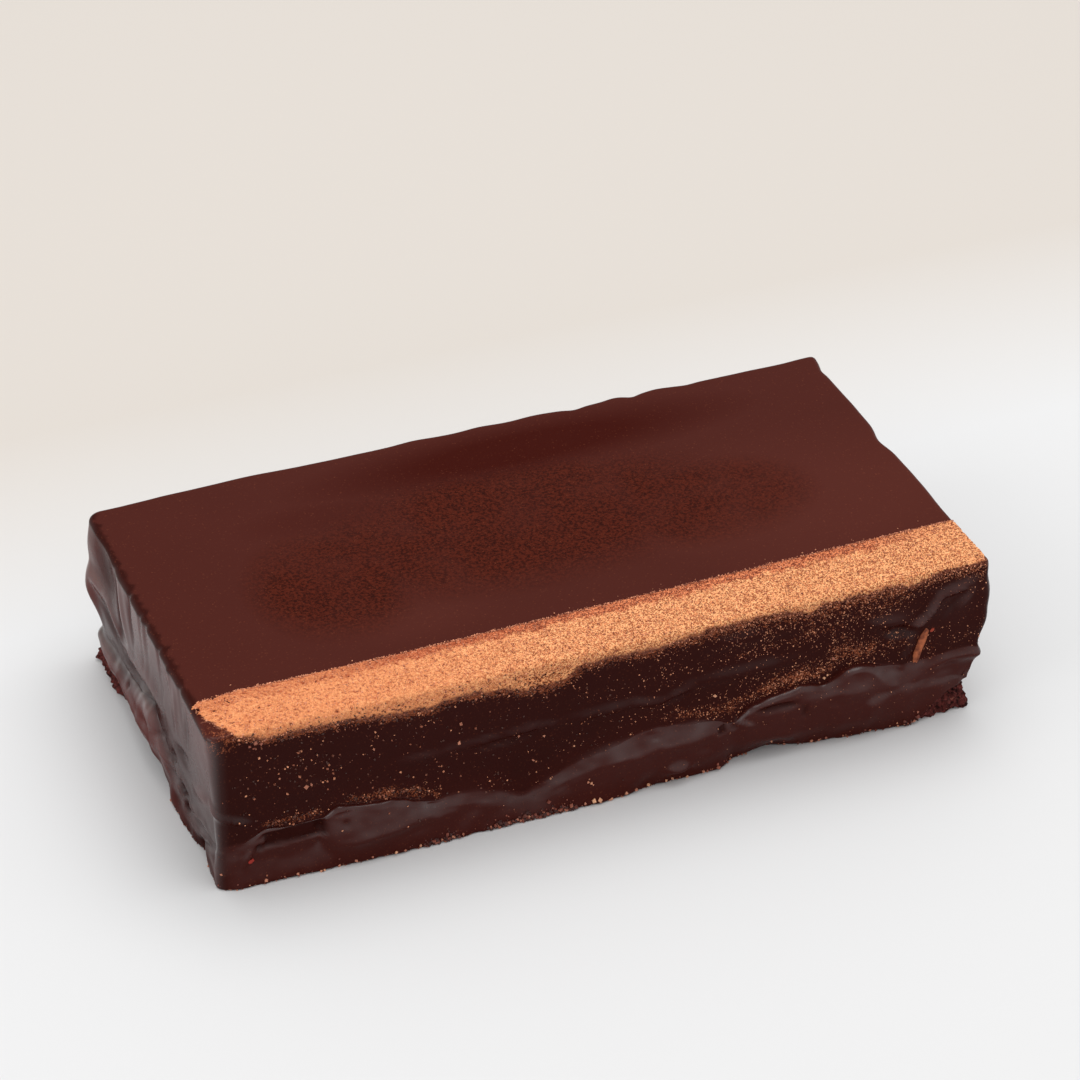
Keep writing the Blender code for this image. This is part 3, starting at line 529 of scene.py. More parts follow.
def buildCoat():
    s = np.arange(coat["stations"]) * girth / coat["stations"]
    point, normal = planPoint(s)
    line, _, roll, depth, _ = ledge(s)
    rim = rimHeight(s)
    edge = cake["edgeRound"]
    top = cake["height"] - edge
    low = np.maximum(line - roll - 0.4 * depth, rim + 0.45 * (line - rim))
    steps = np.arange(coat["upperRows"] + 1) / coat["upperRows"]
    heights = [top + (line - top) * t for t in steps]
    steps = np.arange(1, coat["shoulderRows"] + 1) / coat["shoulderRows"]
    heights += [line + (low - line) * (1.0 - cos(pi / 2 * t)) for t in steps]
    steps = np.arange(1, coat["footRows"] + 1) / coat["footRows"]
    heights += [low + (rim - low) * t for t in steps]
    z = np.array(heights)
    out = wallOffset(s, z)
    tuck = np.clip(1.0 - (z - rim) / 0.5, 0.0, 1.0)
    out = out - 0.5 * (1.0 - np.sqrt(1.0 - tuck**2))  # the rim is a little rounded
    wall = np.dstack((point[:, 0] + normal[:, 0] * out, point[:, 1] + normal[:, 1] * out, z))
    rounds = []
    for inset in coat["topRings"]:
        place, _ = planPoint(s, edge + inset)
        place = place + normal * (out[0] * max(1.0 - inset / 9.0, 0.0))[:, None]
        rounds.append(np.column_stack((place, topHeight(place[:, 0], place[:, 1]))))
    for t in np.arange(6) / 6:
        reach = out[0] - edge * (1.0 - sin(t * pi / 2))
        place = point + normal * reach[:, None]
        high = topHeight(place[:, 0], place[:, 1]) - edge * (1.0 - cos(t * pi / 2))
        rounds.append(np.column_stack((place, high)))
    inner, _ = planPoint(s, 5.0, (3.0,) * 4)
    shown = smooth(bare(s))[:, None]
    lip = wall[-1, :, :2] - normal * 1.2
    inner = inner * (1 - shown) + lip * shown
    under = [np.column_stack((inner, high)) for high in (rim + 0.15 * shown[:, 0], rim * 0 + cake["pocket"])]
    places = np.concatenate((np.array(rounds), wall, np.array(under)))
    values = glossValues(s, z, out, rim, len(rounds), places.shape[:2])

    bm = wrappedGrid(len(s), len(places) - 1, places, values)
    closeAt(bm, cake["height"])
    closeAt(bm, cake["pocket"])
    bmesh.ops.recalc_face_normals(bm, faces=bm.faces[:])
    made = makeObject("coat", bm)
    made.data.set_sharp_from_angle(angle=radians(55))
    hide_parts("coated_cake")
    return made


coatPiece = buildCoat()
print("coat:", len(coatPiece.data.polygons), "faces")

# finding places on the coat
shell = bmesh.new()
shell.from_mesh(coatPiece.data)
coatTree = BVHTree.FromBMesh(shell)
shell.free()


def onCoat(start, aim):
    # place and normal where a ray meets the coat, in millimetres
    place, normal, _, _ = coatTree.ray_cast(Vector(start) * mm, Vector(aim))
    return (place / mm, normal) if place else (None, None)


def onFront(x, z):
    return onCoat((x - cake["length"] / 2, -90, z), (0, 1, 0))


def onTop(x, y):
    return onCoat((x - cake["length"] / 2, y, 90), (0, 0, -1))


# crumbly biscuit base
biscuit = {
    "stations": 1300,
    "inset": 5.6,
    "within": 1.6,  # where it is covered it stays this far inside the coat's wall,
    "mostWithin": 7.0,  # but is tucked in no further than this
    "cornerLean": 3.6,  # how far its top is tucked in at the front right corner
    # rows of its edge: share of the height, and how far in that row is tucked
    "rows": ((1, 2.4), (0.97, 1.4), (0.9, 0.8), (0.8, 0.5), (0.68, 0.35), (0.56, 0.25), (0.44, 0.15),
             (0.33, 0.1), (0.22, 0), (0.12, 0), (0.05, 0.15), (0, 0.5)),
    "roughness": ((3.2, 1.2), (1.5, 1.2), (0.75, 0.75)),  # size of the lumps and how far they stand out
}


def buildBiscuit():
    s = np.arange(biscuit["stations"]) * girth / biscuit["stations"]
    _, normal = planPoint(s)
    lean = cake["endLean"] * normal[:, 0] ** 2 + cake["sideLean"] * normal[:, 1] ** 2
    opened = smooth(bare(s) * 2.2)
    cornerLean = biscuit["cornerLean"] * bell(around(s, right - 1.0) / 7.0)
    inset = biscuit["inset"] + (lean + 0.4 - footReach(s) - biscuit["inset"]) * opened
    rim = rimHeight(s)
    rows = []
    for share, tuck in biscuit["rows"]:
        z = cake["baseHeight"] * share
        point, normal = planPoint(s, 0.0, (3.0,) * 4)
        covered = smooth((z - rim) / 0.8 + 0.5)
        under = biscuit["within"] - wallOffset(s, np.full((1, len(s)), z))[0]
        under = np.minimum(under, biscuit["mostWithin"])
        tucked = inset + tuck + cornerLean * share
        tucked = tucked + (np.maximum(tucked, under) - tucked) * covered
        point = point - normal * tucked[:, None]
        place = np.column_stack((point, np.full(len(s), z)))
        tall = place * np.array((1.0, 1.0, 1.7))
        crumb = sum(deep * lumps(tall, size) for size, deep in biscuit["roughness"])
        point = point + normal * (crumb * opened - 0.25 * opened)[:, None]
        rows.append(np.column_stack((point, z + 0.3 * lumps(place, 1.7) * opened * (0.0 < share < 1.0))))
    bm = wrappedGrid(len(s), len(rows) - 1, np.array(rows))
    closeAt(bm, cake["baseHeight"])
    closeAt(bm, 0.0)
    bmesh.ops.recalc_face_normals(bm, faces=bm.faces[:])
    made = makeObject("biscuit", bm)
    made.data.set_sharp_from_angle(angle=radians(50))
    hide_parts("biscuit_base")
    return made


biscuitPiece = buildBiscuit()
print("biscuit:", len(biscuitPiece.data.polygons), "faces")

# copper powder along the front edge
powder = {
    "columns": 760,
    "rows": 112,
    "skirt": 0.7,  # how far its border is turned down, towards a line along the bar at this y and z
    "core": (-38, 32),
    "pored": (110, 40),  # its red pores fade out before this x, over this length
    "holed": (91, 10),  # stretch of its front with small holes: middle and half width
    "behind": 22.5,  # how far the sheet reaches behind the front top edge, and below it
    "below": 12.5,
    "thick": 0.3,
    "fan": 4.0,  # round the edge its points are looked for from a middle this far inside
    # border on the top, as distance behind the edge, and on the front, as distance below it, along x
    "backBorder": (
        (0, 14.5), (3, 16.4), (8, 17.2), (14, 17.8), (20, 17.6), (60, 17.6), (100, 18.2), (140, 18.9),
        (180, 19.8), (221, 20.4),
    ),
    "lowBorder": (
        (0, 0), (6, 0.6), (10, 2.2), (15, 3.8), (22, 4), (40, 4.5), (50, 6), (60, 6.4), (68, 4.8),
        (80, 6.4), (88, 8.4), (97, 8), (103, 4.4), (112, 3.8), (120, 4.6), (130, 3.8), (140, 2.6),
        (160, 2.4), (168, 4.4), (175, 2.4), (190, 2.4), (198, 3.2), (205, 1.2), (212, 0.4), (221, 0.2),
    ),
    "leftBorder": (
        (-18, 5), (-17, 2.4), (-15, 0.9), (-12, 0.9), (-9, 2), (-6, 3.4), (-3, 5.2), (0, 7.4), (4, 12),
    ),
    "red": (
        (0, 0.35), (40, 0.5), (60, 1), (190, 1.1), (205, 0.5), (221, 0.3),
    ),  # of its back strip
}


def buildPowder():
    columns, rows = powder["columns"], powder["rows"]
    x = np.linspace(0.15, cake["length"] - 0.2, columns + 1)
    q = np.linspace(-powder["behind"], powder["below"], rows + 1)
    middle = Vector((0, frontY + powder["fan"], cake["height"] - powder["fan"]))
    places = np.zeros((rows + 1, columns + 1, 3))
    normals = np.zeros_like(places)
    for j, down in enumerate(q):
        target = Vector((0, frontY - min(down, 0.0), cake["height"] - max(down, 0.0)))
        if abs(down) < powder["fan"]:
            aim = middle - target
        else:
            aim = Vector((0, 0, -1)) if down < 0 else Vector((0, 1, 0))
        aim.normalize()
        start = target - aim * 20
        for i, across in enumerate(x):
            places[j, i], normals[j, i] = onCoat((across - cake["length"] / 2, start.y, start.z), aim)
    down, across = q[:, None], x[None]
    wobble = 0.35 * lumps(places, 1.3) + 0.5 * lumps(places, 5.0)
    behind = along(powder["backBorder"], across) + down + 0.6 * wobble  # distances inside each border
    above = along(powder["lowBorder"], across) - down + 1.8 * wobble
    ragged = wobble + 0.5 * lumps(places, 2.2)
    inside = across - along(powder["leftBorder"], down) + 1.5 * ragged * smooth((down + 19) / 6 - 0.2)
    rightFade = smooth((across - 120) / 60)
    back = np.clip(behind / 0.5, -1.0, 1.0)
    front = np.clip(above / (1.9 + 1.5 * rightFade), -1.0, 1.0)
    side = np.clip(inside / 1.6, -1.0, 1.0)
    cover = np.minimum(np.minimum(back, front), side)
    clods = smooth((30 - across) / 25) * smooth((-down - 3) / 4)
    grain = 0.9 * lumps(places, 0.42) + 0.5 * lumps(places, 0.9) + (0.3 + clods) * lumps(places, 2.0)
    pores = np.clip(lumps(places + 40.0, 0.9) - 0.22 + 0.07 * smooth((80 - across) / 50), 0.0, 1.0)
    last, fade = powder["pored"]
    pores = pores * smooth((last - across) / fade)
    holes = np.clip(lumps(places + 80.0, 0.6) + 0.4 * lumps(places, 0.35) - 0.06, 0.0, 1.0)
    holed, half = powder["holed"]
    holes = holes * bell((across - holed) / half) * smooth((down - 2.0) / 2)
    height = powder["thick"] * cover + (0.26 + 0.08 * rightFade) * grain - 0.5 * pores - 1.8 * holes
    bareCoat = ~(cover > -0.99)  # with the points whose ray missed the coat
    height = np.where(bareCoat, -0.3, np.maximum(height, -0.28))
    lifted = places + normals * height[..., None]
    strip = along(powder["red"], across) * smooth((5.2 - behind + 5.0 * wobble) / 2.2)
    thin = smooth(1.0 - above / (3.0 - 1.4 * rightFade)) * smooth((down + 2.0) / 3.0)
    thin = np.maximum(thin, smooth(1.0 - inside / 1.6) * smooth((down + 14.0) / 3.0))
    strip = np.clip(strip * (down < 0) + 1.6 * pores, 0.0, 1.0)
    coarse = 0.3 + 1.3 * smooth((across - 30) / 120) + 0.0 * down
    looks = {"red": strip, "thin": thin, "coarse": coarse}

    bm = bmesh.new()
    bmesh.ops.create_grid(bm, x_segments=columns, y_segments=rows, size=1.0)
    layers = [(bm.verts.layers.float.new(name), table) for name, table in looks.items()]
    outside = bm.verts.layers.float.new("outside")
    for v in bm.verts:
        column = round((v.co.x + 1) / 2 * columns)
        row = round((v.co.y + 1) / 2 * rows)
        v.co = Vector(lifted[row, column]) * mm
        v[outside] = bareCoat[row, column]
        for layer, table in layers:
            v[layer] = table[row, column]
    bmesh.ops.delete(bm, geom=[f for f in bm.faces if all(v[outside] for v in f.verts)], context="FACES")
    closeBelow(bm)
    made = makeObject("powder", bm)
    return made


def closeBelow(bm):
    # the sheet's border is turned down into the coat, and its underside closed
    rims = [e for e in bm.edges if e.is_boundary]
    skirt = bmesh.ops.extrude_edge_only(bm, edges=rims)["geom"]
    core = Vector((0, *powder["core"])) * mm
    for v in (g for g in skirt if isinstance(g, bmesh.types.BMVert)):
        toCore = Vector((0, core.y - v.co.y, core.z - v.co.z)).normalized()
        v.co += toCore * powder["skirt"] * mm
    bmesh.ops.holes_fill(bm, edges=[e for e in bm.edges if e.is_boundary], sides=0)
    bmesh.ops.recalc_face_normals(bm, faces=bm.faces[:])


powderPiece = buildPowder()
print("powder:", len(powderPiece.data.polygons), "faces")

# loose grains of the powder
grains = {
    "frontCandidates": 76000,
    "topCount": 9000,
    "strayCount": 70,  # single grains behind the powder
    "frontSize": (0.09, 0.15),  # the smallest, and how much larger the largest can be
    "topSize": (0.10, 0.17),
    # the finest dust just below the powder: how dense, how far down, and where along x it starts and ends
    "haze": (0.55, 0.9, 8, 130),
    "dustyCorner": (4, 54, 42),  # at the front left: x, distance in front of the middle, lowest height
    "border": (
        (0, 0.5), (60, 0.7), (130, 0.7), (221, 0.6),
    ),  # how dense they are just below the powder
    "reach": (
        (0, 1), (60, 1.3), (130, 1.8), (150, 2.6), (221, 3),
    ),  # and how far down that goes
    "veil": (
        (0, 0.04), (60, 0.05), (90, 0.05), (120, 0.09), (150, 0.14), (180, 0.17), (205, 0.13),
        (221, 0.09),
    ),
    # smooth places that hold almost none: x and height, half width, half height
    "clear": (
        (194, 34.5, 6, 3.2), (211, 37, 6.5, 5), (204, 31, 5, 2), (213, 28, 3, 1.6),
        (91.1, 29.5, 22, 1.2), (112.9, 29.8, 14, 1.2), (160, 29.6, 9, 1.6), (142.1, 30.5, 8, 2),
    ),
    # drifts on the front: both ends as x and height, half width, how dense
    "drifts": (
        (15.3, 17.3, 29.3, 17, 1.4, 0.55), (32.8, 19.4, 37.8, 19.2, 1.2, 0.15),
        (38.8, 18.8, 49.5, 18.6, 1.6, 0.5), (47.5, 18.6, 56.3, 16.4, 1.7, 0.55),
        (56.3, 16, 62.2, 13.8, 1.4, 0.45), (131.5, 20.8, 146, 18.8, 2.2, 0.36),
        (148, 20.8, 157, 22.8, 1.7, 0.42), (157, 22.8, 168, 24.2, 1.8, 0.48),
        (166, 23.6, 175, 24.2, 2, 0.38), (160, 26.5, 172, 27.2, 2.4, 0.14),
        (176, 29.6, 187, 27.8, 1.9, 0.4), (184, 27, 198, 27.4, 2.2, 0.2),
        (148, 35.8, 165, 37, 1.2, 0.22), (170, 37.2, 178, 38, 1.1, 0.2), (168, 38, 196, 41, 3.5, 0.12),
        (205, 24, 219, 26, 2.5, 0.08), (23.8, 36, 31.8, 32, 3.5, 0.1), (11.8, 33, 19.8, 36, 4, 0.05),
        (107, 26, 110.9, 25, 2, 0.12), (105, 35, 125.7, 35, 3, 0.1),
    ),
}


def manyOf(name, places, turns, sizes, shades):
    # one small grain, doubled until there are enough, then every copy goes to its place
    first = bmesh.new()
    bmesh.ops.create_uvsphere(first, u_segments=4, v_segments=2, radius=1.0)
    seed = bpy.data.meshes.new("seed")
    first.to_mesh(seed)
    first.free()
    bm = bmesh.new()
    bm.from_mesh(seed)
    bpy.data.meshes.remove(seed)
    points, edges, faces = len(bm.verts), len(bm.edges), len(bm.faces)
    count = len(places)
    have = 1
    while have < count:
        take = min(have, count - have)
        geom = bm.verts[:take * points] + bm.edges[:take * edges] + bm.faces[:take * faces]
        bmesh.ops.duplicate(bm, geom=geom)
        have += take
    made = makeObject(name, bm)
    mesh = made.data
    co = pointsOf(mesh).reshape(count, points, 3) * (1.0 + rng.uniform(-0.25, 0.25, (count, points, 1)))
    co = np.einsum("nij,npj->npi", turns, co * sizes[:, None, :]) + places[:, None, :]
    co[:, :, 2] -= np.minimum(co[:, :, 2].min(axis=1), 0.0)[:, None]  # none reaches below the ground
    mesh.vertices.foreach_set("co", (co * mm).ravel())
    mark(mesh, "shade", np.repeat(shades, points))
    mesh.shade_flat()
    mesh.update()
    return made


def randomTurns(count):
    # evenly spread turns, from random unit quaternions
    turns = rng.normal(size=(4, count))
    w, x, y, z = turns / np.sqrt((turns**2).sum(0))
    rows = (
        (1 - 2 * (y * y + z * z), 2 * (x * y - z * w), 2 * (x * z + y * w)),
        (2 * (x * y + z * w), 1 - 2 * (x * x + z * z), 2 * (y * z - x * w)),
        (2 * (x * z - y * w), 2 * (y * z + x * w), 1 - 2 * (x * x + y * y)),
    )
    return np.moveaxis(np.array(rows), -1, 0)


def dusting(x, z):
    # how thickly the grains lie on the front, from 0 to 1
    below = np.maximum(cake["height"] - along(powder["lowBorder"], x) - z, 0.0) / along(grains["reach"], x)
    total = along(grains["border"], x) * np.exp(-(below**1.4))
    cloudy = 0.5 + 1.6 * np.maximum(lumps(np.stack((x, x * 0, z), -1), 7.0) + 0.15, 0.0)
    total = total + along(grains["veil"], x) * cloudy
    for middle, high, half, tall in grains["clear"]:
        total = total * (1.0 - 0.85 * bell(np.hypot((x - middle) / half, (z - high) / tall)))
    for x0, z0, x1, z1, half, dense in grains["drifts"]:
        _, distance = fromLine(x - x0, z - z0, x1 - x0, z1 - z0)
        total = total + dense * bell(distance / half)
    onWall = smooth((z - ledge(x)[0]) / 1.0 + 0.6)
    return np.clip(total, 0.0, 1.0) * smooth((x - 2) / 6) * (0.08 + 0.92 * onWall)


def buildGrains():
    spots, sizes, shades = [], [], []
    count = grains["frontCandidates"]
    x = rng.uniform(0.5, cake["length"] - 0.5, count)
    z = rng.uniform(1.0, cake["height"] - 0.5, count)
    clumped = np.clip(0.85 + 1.6 * lumps(np.stack((x, x * 0, z), -1), 1.4), 0.15, 1.7)
    keep = rng.uniform(size=count) < dusting(x, z) * clumped * (0.6 + 0.4 * smooth((x - 120) / 40))
    small, more = grains["frontSize"]
    for a, b in zip(x[keep], z[keep]):
        place, normal = onFront(a, b)
        if place is None or normal.z < -0.5:
            continue
        size = (small + more * rng.random() ** 2) * (1.75 - 0.75 * smooth((a - 30) / 120))
        spots.append(place + normal * size * 0.3)
        sizes.append(size)
        shades.append(rng.random() ** (3.0 - 2.3 * smooth((a - 60) / 90)))
    front = len(spots)
    small, more = grains["topSize"]
    for k in range(grains["topCount"] + grains["strayCount"]):
        stray = k >= grains["topCount"]
        a = rng.uniform(1.0, cake["length"] - 0.5)
        border = float(along(powder["backBorder"], a))
        if stray:
            behind = border + rng.exponential(0.9)
        else:
            behind = border - abs(rng.normal(0.0, 0.5)) if k % 6 == 0 else rng.uniform(-2.5, border)
        if not stray and a < along(powder["leftBorder"], -behind) - 0.6:
            continue
        if behind > 0.4:
            place, normal = onTop(a, frontY + behind)
        else:
            place, normal = onFront(a, cake["height"] - 0.8 - max(-behind, 0.0))
        if place is None:
            continue
        size = small + more * rng.random() ** 2
        lift = 0.0 if stray else powder["thick"]
        spots.append(place + normal * (lift + size * 0.5))
        sizes.append(size)
        shades.append(1.0 - (0.38 + 0.32 * smooth((a - 30) / 90)) * rng.random())
    count = len(spots)
    scale = np.array(sizes)[:, None] * rng.uniform(0.6, 1.4, (count, 3))
    made = manyOf("grains", np.array(spots), randomTurns(count), scale, shades)
    print("grains:", front, "on the front,", count - front, "on the top")
    return made


grainPiece = buildGrains()


def dustCoat():
    # marks how thickly the finest dust lies on the coat, for its finish, where the left end is painted
    # lighter as painted light, and the dark strip along the top left edge
    mesh = coatPiece.data
    x, y, z = pointsOf(mesh).reshape(-1, 3).T / mm
    x = x + cake["length"] / 2
    front = smooth((-y - 52.5) / 2.0)
    below = cake["height"] - along(powder["lowBorder"], x) - z
    dense, deep, start, end = grains["haze"]
    haze = dense * np.exp(-np.maximum(below, 0.0) / deep) * smooth((x - start) / 6) * smooth((end - x) / 40)
    dust = (0.9 * np.maximum(dusting(x, z) - 0.16, 0.0) + haze) * front
    across, ahead, lowest = grains["dustyCorner"]
    corner = bell(np.hypot((x - across) / 3.6, (-y - ahead) / 4.0)) * smooth((z - lowest) / 5.0)
    mark(mesh, "dust", np.clip(dust + 0.5 * corner, 0, 1.5))
    # painted light: the left end's brown is lighter
    end = smooth((2.0 - x) / 2.5) * smooth((cake["height"] - 1.0 - z) / 1.5)
    mark(mesh, "end", end)
    ragged = 1.1 * lumps(np.stack((x * 0, y, x * 0), -1), 3.0) + 0.7 * lumps(np.stack((x, y, x * 0), -1), 1.4)
    edge = smooth((2.9 + 1.3 * ragged - x) / 1.2) * smooth((z - 47.0) / 1.0) * smooth((y + 47.0) / 5.0)
    mark(mesh, "edge", edge)


dustCoat()

# biscuit crumbs along the foot
crumbs = {
    # x, size and shade of the ones that stand out along the foot
    "marked": (
        (13.5, 0.9, 0.7), (22, 0.6, 0.7), (38, 0.8, 0.6), (42.5, 0.7, 0.5), (49, 0.9, 0.9),
        (51.5, 0.6, 0.6), (56, 0.7, 0.8), (60, 0.8, 0.4), (62, 0.6, 0.6), (65, 0.6, 0.7),
        (68, 0.8, 0.5), (76, 0.7, 0.6), (77.5, 0.6, 0.7), (81, 0.7, 0.5), (87, 0.7, 0.8),
        (92, 0.6, 0.5), (99, 0.8, 0.7), (103, 0.7, 0.6), (105.4, 1.3, 1), (107.2, 1.1, 0.9),
        (115, 0.8, 0.75), (118, 0.7, 0.6), (122, 0.8, 0.95), (127, 1.1, 0.85), (129, 0.8, 0.8),
        (138, 0.8, 0.7), (142.5, 1, 0.45), (147, 0.6, 0.6), (151, 0.5, 0.7), (171, 0.9, 0.7),
        (173, 0.6, 0.6), (180, 0.6, 0.6), (188, 0.6, 0.6), (201, 0.9, 0.65), (204, 1.3, 0.5),
        (207, 0.8, 0.3),
    ),
    # x, height, size and shade of those stuck to the front
    "stuck": (
        (11.1, 44.4, 1.1, 0.42), (12.6, 45.2, 1.3, 0.5), (14.1, 44.6, 1.2, 0.45), (15.2, 45.4, 1, 0.52),
        (12.1, 43.4, 0.8, 0.4), (85.2, 26.4, 1, 0.65), (92.1, 25, 0.8, 0.7), (94.1, 10, 0.8, 0.85),
        (100.8, 19, 0.8, 0.8), (89.2, 17.4, 0.9, 0.6), (68.2, 29.2, 1, 0.7), (44.6, 34, 1, 0.7),
        (68.7, 35.5, 1.2, 0.6), (18.8, 31.8, 0.8, 0.6), (104, 7.8, 0.7, 0.7), (104.9, 7.1, 0.8, 0.8),
        (105.5, 6.4, 0.6, 0.75), (104.3, 8.7, 0.5, 0.7), (141.4, 24.5, 1.1, 0.85),
        (173.8, 21.6, 1.3, 0.95), (174.8, 22.4, 0.8, 0.9), (176.2, 27.5, 1, 0.5), (158.5, 5, 0.8, 0.8),
        (25.8, 27.4, 1.2, 0.6), (27.2, 27.6, 1, 0.55), (147.2, 2.4, 0.8, 0.7), (2, 5, 0.9, 0.65),
    ),
    # stretches of the foot that are rough with dark crumbs: start, end, how many
    "rough": ((57, 67, 90), (75, 101, 260), (198, 212, 90)),
    "roughSize": (0.2, 0.42),  # the smallest, and how much larger the largest can be
    "scattered": 520,  # round the whole foot
    "scatteredSize": (0.16, 0.3),
}


def buildCrumbs():
    spots, sizes, shades = [], [], []
    for x, size, shade in crumbs["marked"]:
        place, normal = onFront(x, 0.8 + size * 0.5)
        spots.append(place + normal * size * 0.25)
        sizes.append(size * 0.62)
        shades.append(shade)
    for x, z, size, shade in crumbs["stuck"]:
        place, normal = onFront(x, z)
        spots.append(place + normal * size * 0.12)
        sizes.append(size * 0.5)
        shades.append(shade)
    small, more = crumbs["roughSize"]
    for start, end, many in crumbs["rough"]:
        for _ in range(many):
            place, normal = onFront(rng.uniform(start, end), 0.3 + rng.exponential(0.7))
            size = small + more * rng.random() ** 2
            spots.append(place + normal * size * 0.35)
            sizes.append(size)
            shades.append(0.55 * rng.random() ** 3)
    small, more = crumbs["scatteredSize"]
    for _ in range(crumbs["scattered"]):
        s = rng.uniform(0, girth)
        point, normal = planPoint(np.array([s]))
        height = 0.25 + rng.exponential(0.5)
        if height > 4.0 and bare(np.array([s]))[0] <= 0:
            continue
        start = (point + normal * 20)[0]
        place, face = onCoat((start[0], start[1], height), (-normal[0, 0], -normal[0, 1], 0))
        if place is None:
            continue
        size = small + more * rng.random() ** 3
        spots.append(place + face * size * 0.3)
        sizes.append(size)
        shades.append(0.1 + 0.8 * rng.random() ** 1.5)
    count = len(spots)
    scale = np.array(sizes)[:, None] * rng.uniform(0.75, 1.35, (count, 3))
    made = manyOf("crumbs", np.array(spots), randomTurns(count), scale, shades)
    print("crumbs:", count)
    return made


crumbPiece = buildCrumbs()

# nut bits caught in the coat
nuts = {
    # both ends as x and height, width, thickness, how red and how blunt
    "bits": (
        (201.2, 20, 203.9, 29.4, 2.5, 1.1, 0, 0.9), (205.4, 28.8, 206.2, 29.6, 1, 0.7, 0.7, 0.3),
        (9.4, 7, 10.8, 7.5, 1.4, 0.8, 1, 0),
    ),
}


def buildNuts():
    bm = bmesh.new()
    redness = bm.verts.layers.float.new("red")
    for x0, z0, x1, z1, wide, thick, red, bluntness in nuts["bits"]:
        verts = bmesh.ops.create_uvsphere(bm, u_segments=40, v_segments=28, radius=0.5)["verts"]
        long = np.hypot(x1 - x0, z1 - z0) + wide * 0.3
        turn = Matrix.Rotation(np.arctan2(x1 - x0, z1 - z0), 3, "Y")
        for v in verts:
            v[redness] = red
            blunt = 1.0 + bluntness * (1.6 * v.co.z**2 + 2.0 * v.co.z**4)
            v.co = Vector((v.co.x * blunt, v.co.y * blunt, v.co.z))
            v.co *= 1.0 + 0.22 * noise.noise(v.co * 3.0 + Vector((x0, 0, 0)))
            v.co = turn @ Vector((v.co.x * wide, v.co.y * thick, v.co.z * long))
            place, _ = onFront((x0 + x1) / 2 + v.co.x, (z0 + z1) / 2 + v.co.z)
            v.co = (place + Vector((0, v.co.y, 0))) * mm
    bmesh.ops.recalc_face_normals(bm, faces=bm.faces[:])
    made = makeObject("nut_bits", bm)
    return made


nutPiece = buildNuts()

# finishes
finishes = {
    # the coat's browns are lit and shaded copies of one chocolate: painted light makes the top lighter,
    # painted shade makes the walls darker
    "shadedWallBrown": ((0.026, 0.0050, 0.0038), (0.034, 0.0064, 0.0050)),
    # painted sheen: a lighter brown along the ledge and the glossy streaks
    "sheenLedgeBrown": ((0.043, 0.0074, 0.0052), (0.055, 0.0094, 0.0068)),
    "litEndBrown": ((0.075, 0.0122, 0.0094), (0.094, 0.0154, 0.0119)),  # the left end, painted lighter as painted light from the left
    "litTopBrown": ((0.058, 0.0091, 0.0049), (0.069, 0.0113, 0.0067)),
    "topGrain": ((0.026, 0.0034, 0.0018), (0.082, 0.0122, 0.0052)),
    "topSheen": (0.076, 0.0138, 0.0082),
    # painted dark reflection on the top
    "darkReflectionBrown": (0.038, 0.0024, 0.0005),
    "edgeBrown": (0.026, 0.0040, 0.0026),
    # painted shade in the recesses and pits
    "pitShadeBrown": (0.008, 0.0014, 0.0012),
    "topFrom": (0.0478, 0.0488),  # heights in metres between which the wall's brown turns into the top's
    "gloss": {"top": 0.125, "grainy": 0.05, "roughness": 0.22},
    "fineDust": ((0.065, 0.015, 0.007), (0.30, 0.082, 0.036)),
    "copper": ((0.34, 0.095, 0.033), (0.84, 0.303, 0.121), (1.0, 0.50, 0.225)),
    "redCopper": ((0.18, 0.034, 0.012), (0.46, 0.100, 0.037), (0.84, 0.28, 0.118)),
    "thinCopper": (0.120, 0.032, 0.020),
    # tones from the dimmest grain or crumb to the brightest
    "grains": ((0.055, 0.014, 0.008), (0.30, 0.080, 0.036), (0.86, 0.36, 0.19)),
    "crumbs": ((0.045, 0.010, 0.008), (0.24, 0.055, 0.032), (0.54, 0.21, 0.125), (0.78, 0.40, 0.22)),
    "biscuit": ((0.012, 0.0020, 0.0018), (0.170, 0.036, 0.031), (0.24, 0.08, 0.055)),  # dark, light, flecks
    "nuts": ((0.10, 0.020, 0.010), (0.50, 0.140, 0.056), (0.34, 0.030, 0.020)),  # dark, light, the red ones
    # grainy patches on the top: middle, half widths, strength
    "patches": (((-59, -2), (25, 28), 1.0), ((-2, 8), (66, 34), 1.0), ((50, -2), (36, 22), 0.9)),
    # bands of painted dark reflection on the top: middle, half widths, strength
    "darkReflectionBands": (((14, 41), (74, 15), 1.0), ((-50, 29), (28, 9), 0.3)),
    # painted sheen: lighter places of the top
    "paintedSheens": (((88, -14), (60, 42), 1.0), ((-42, -26), (24, 10), 0.6), ((48, -16), (24, 11), 0.6)),
}


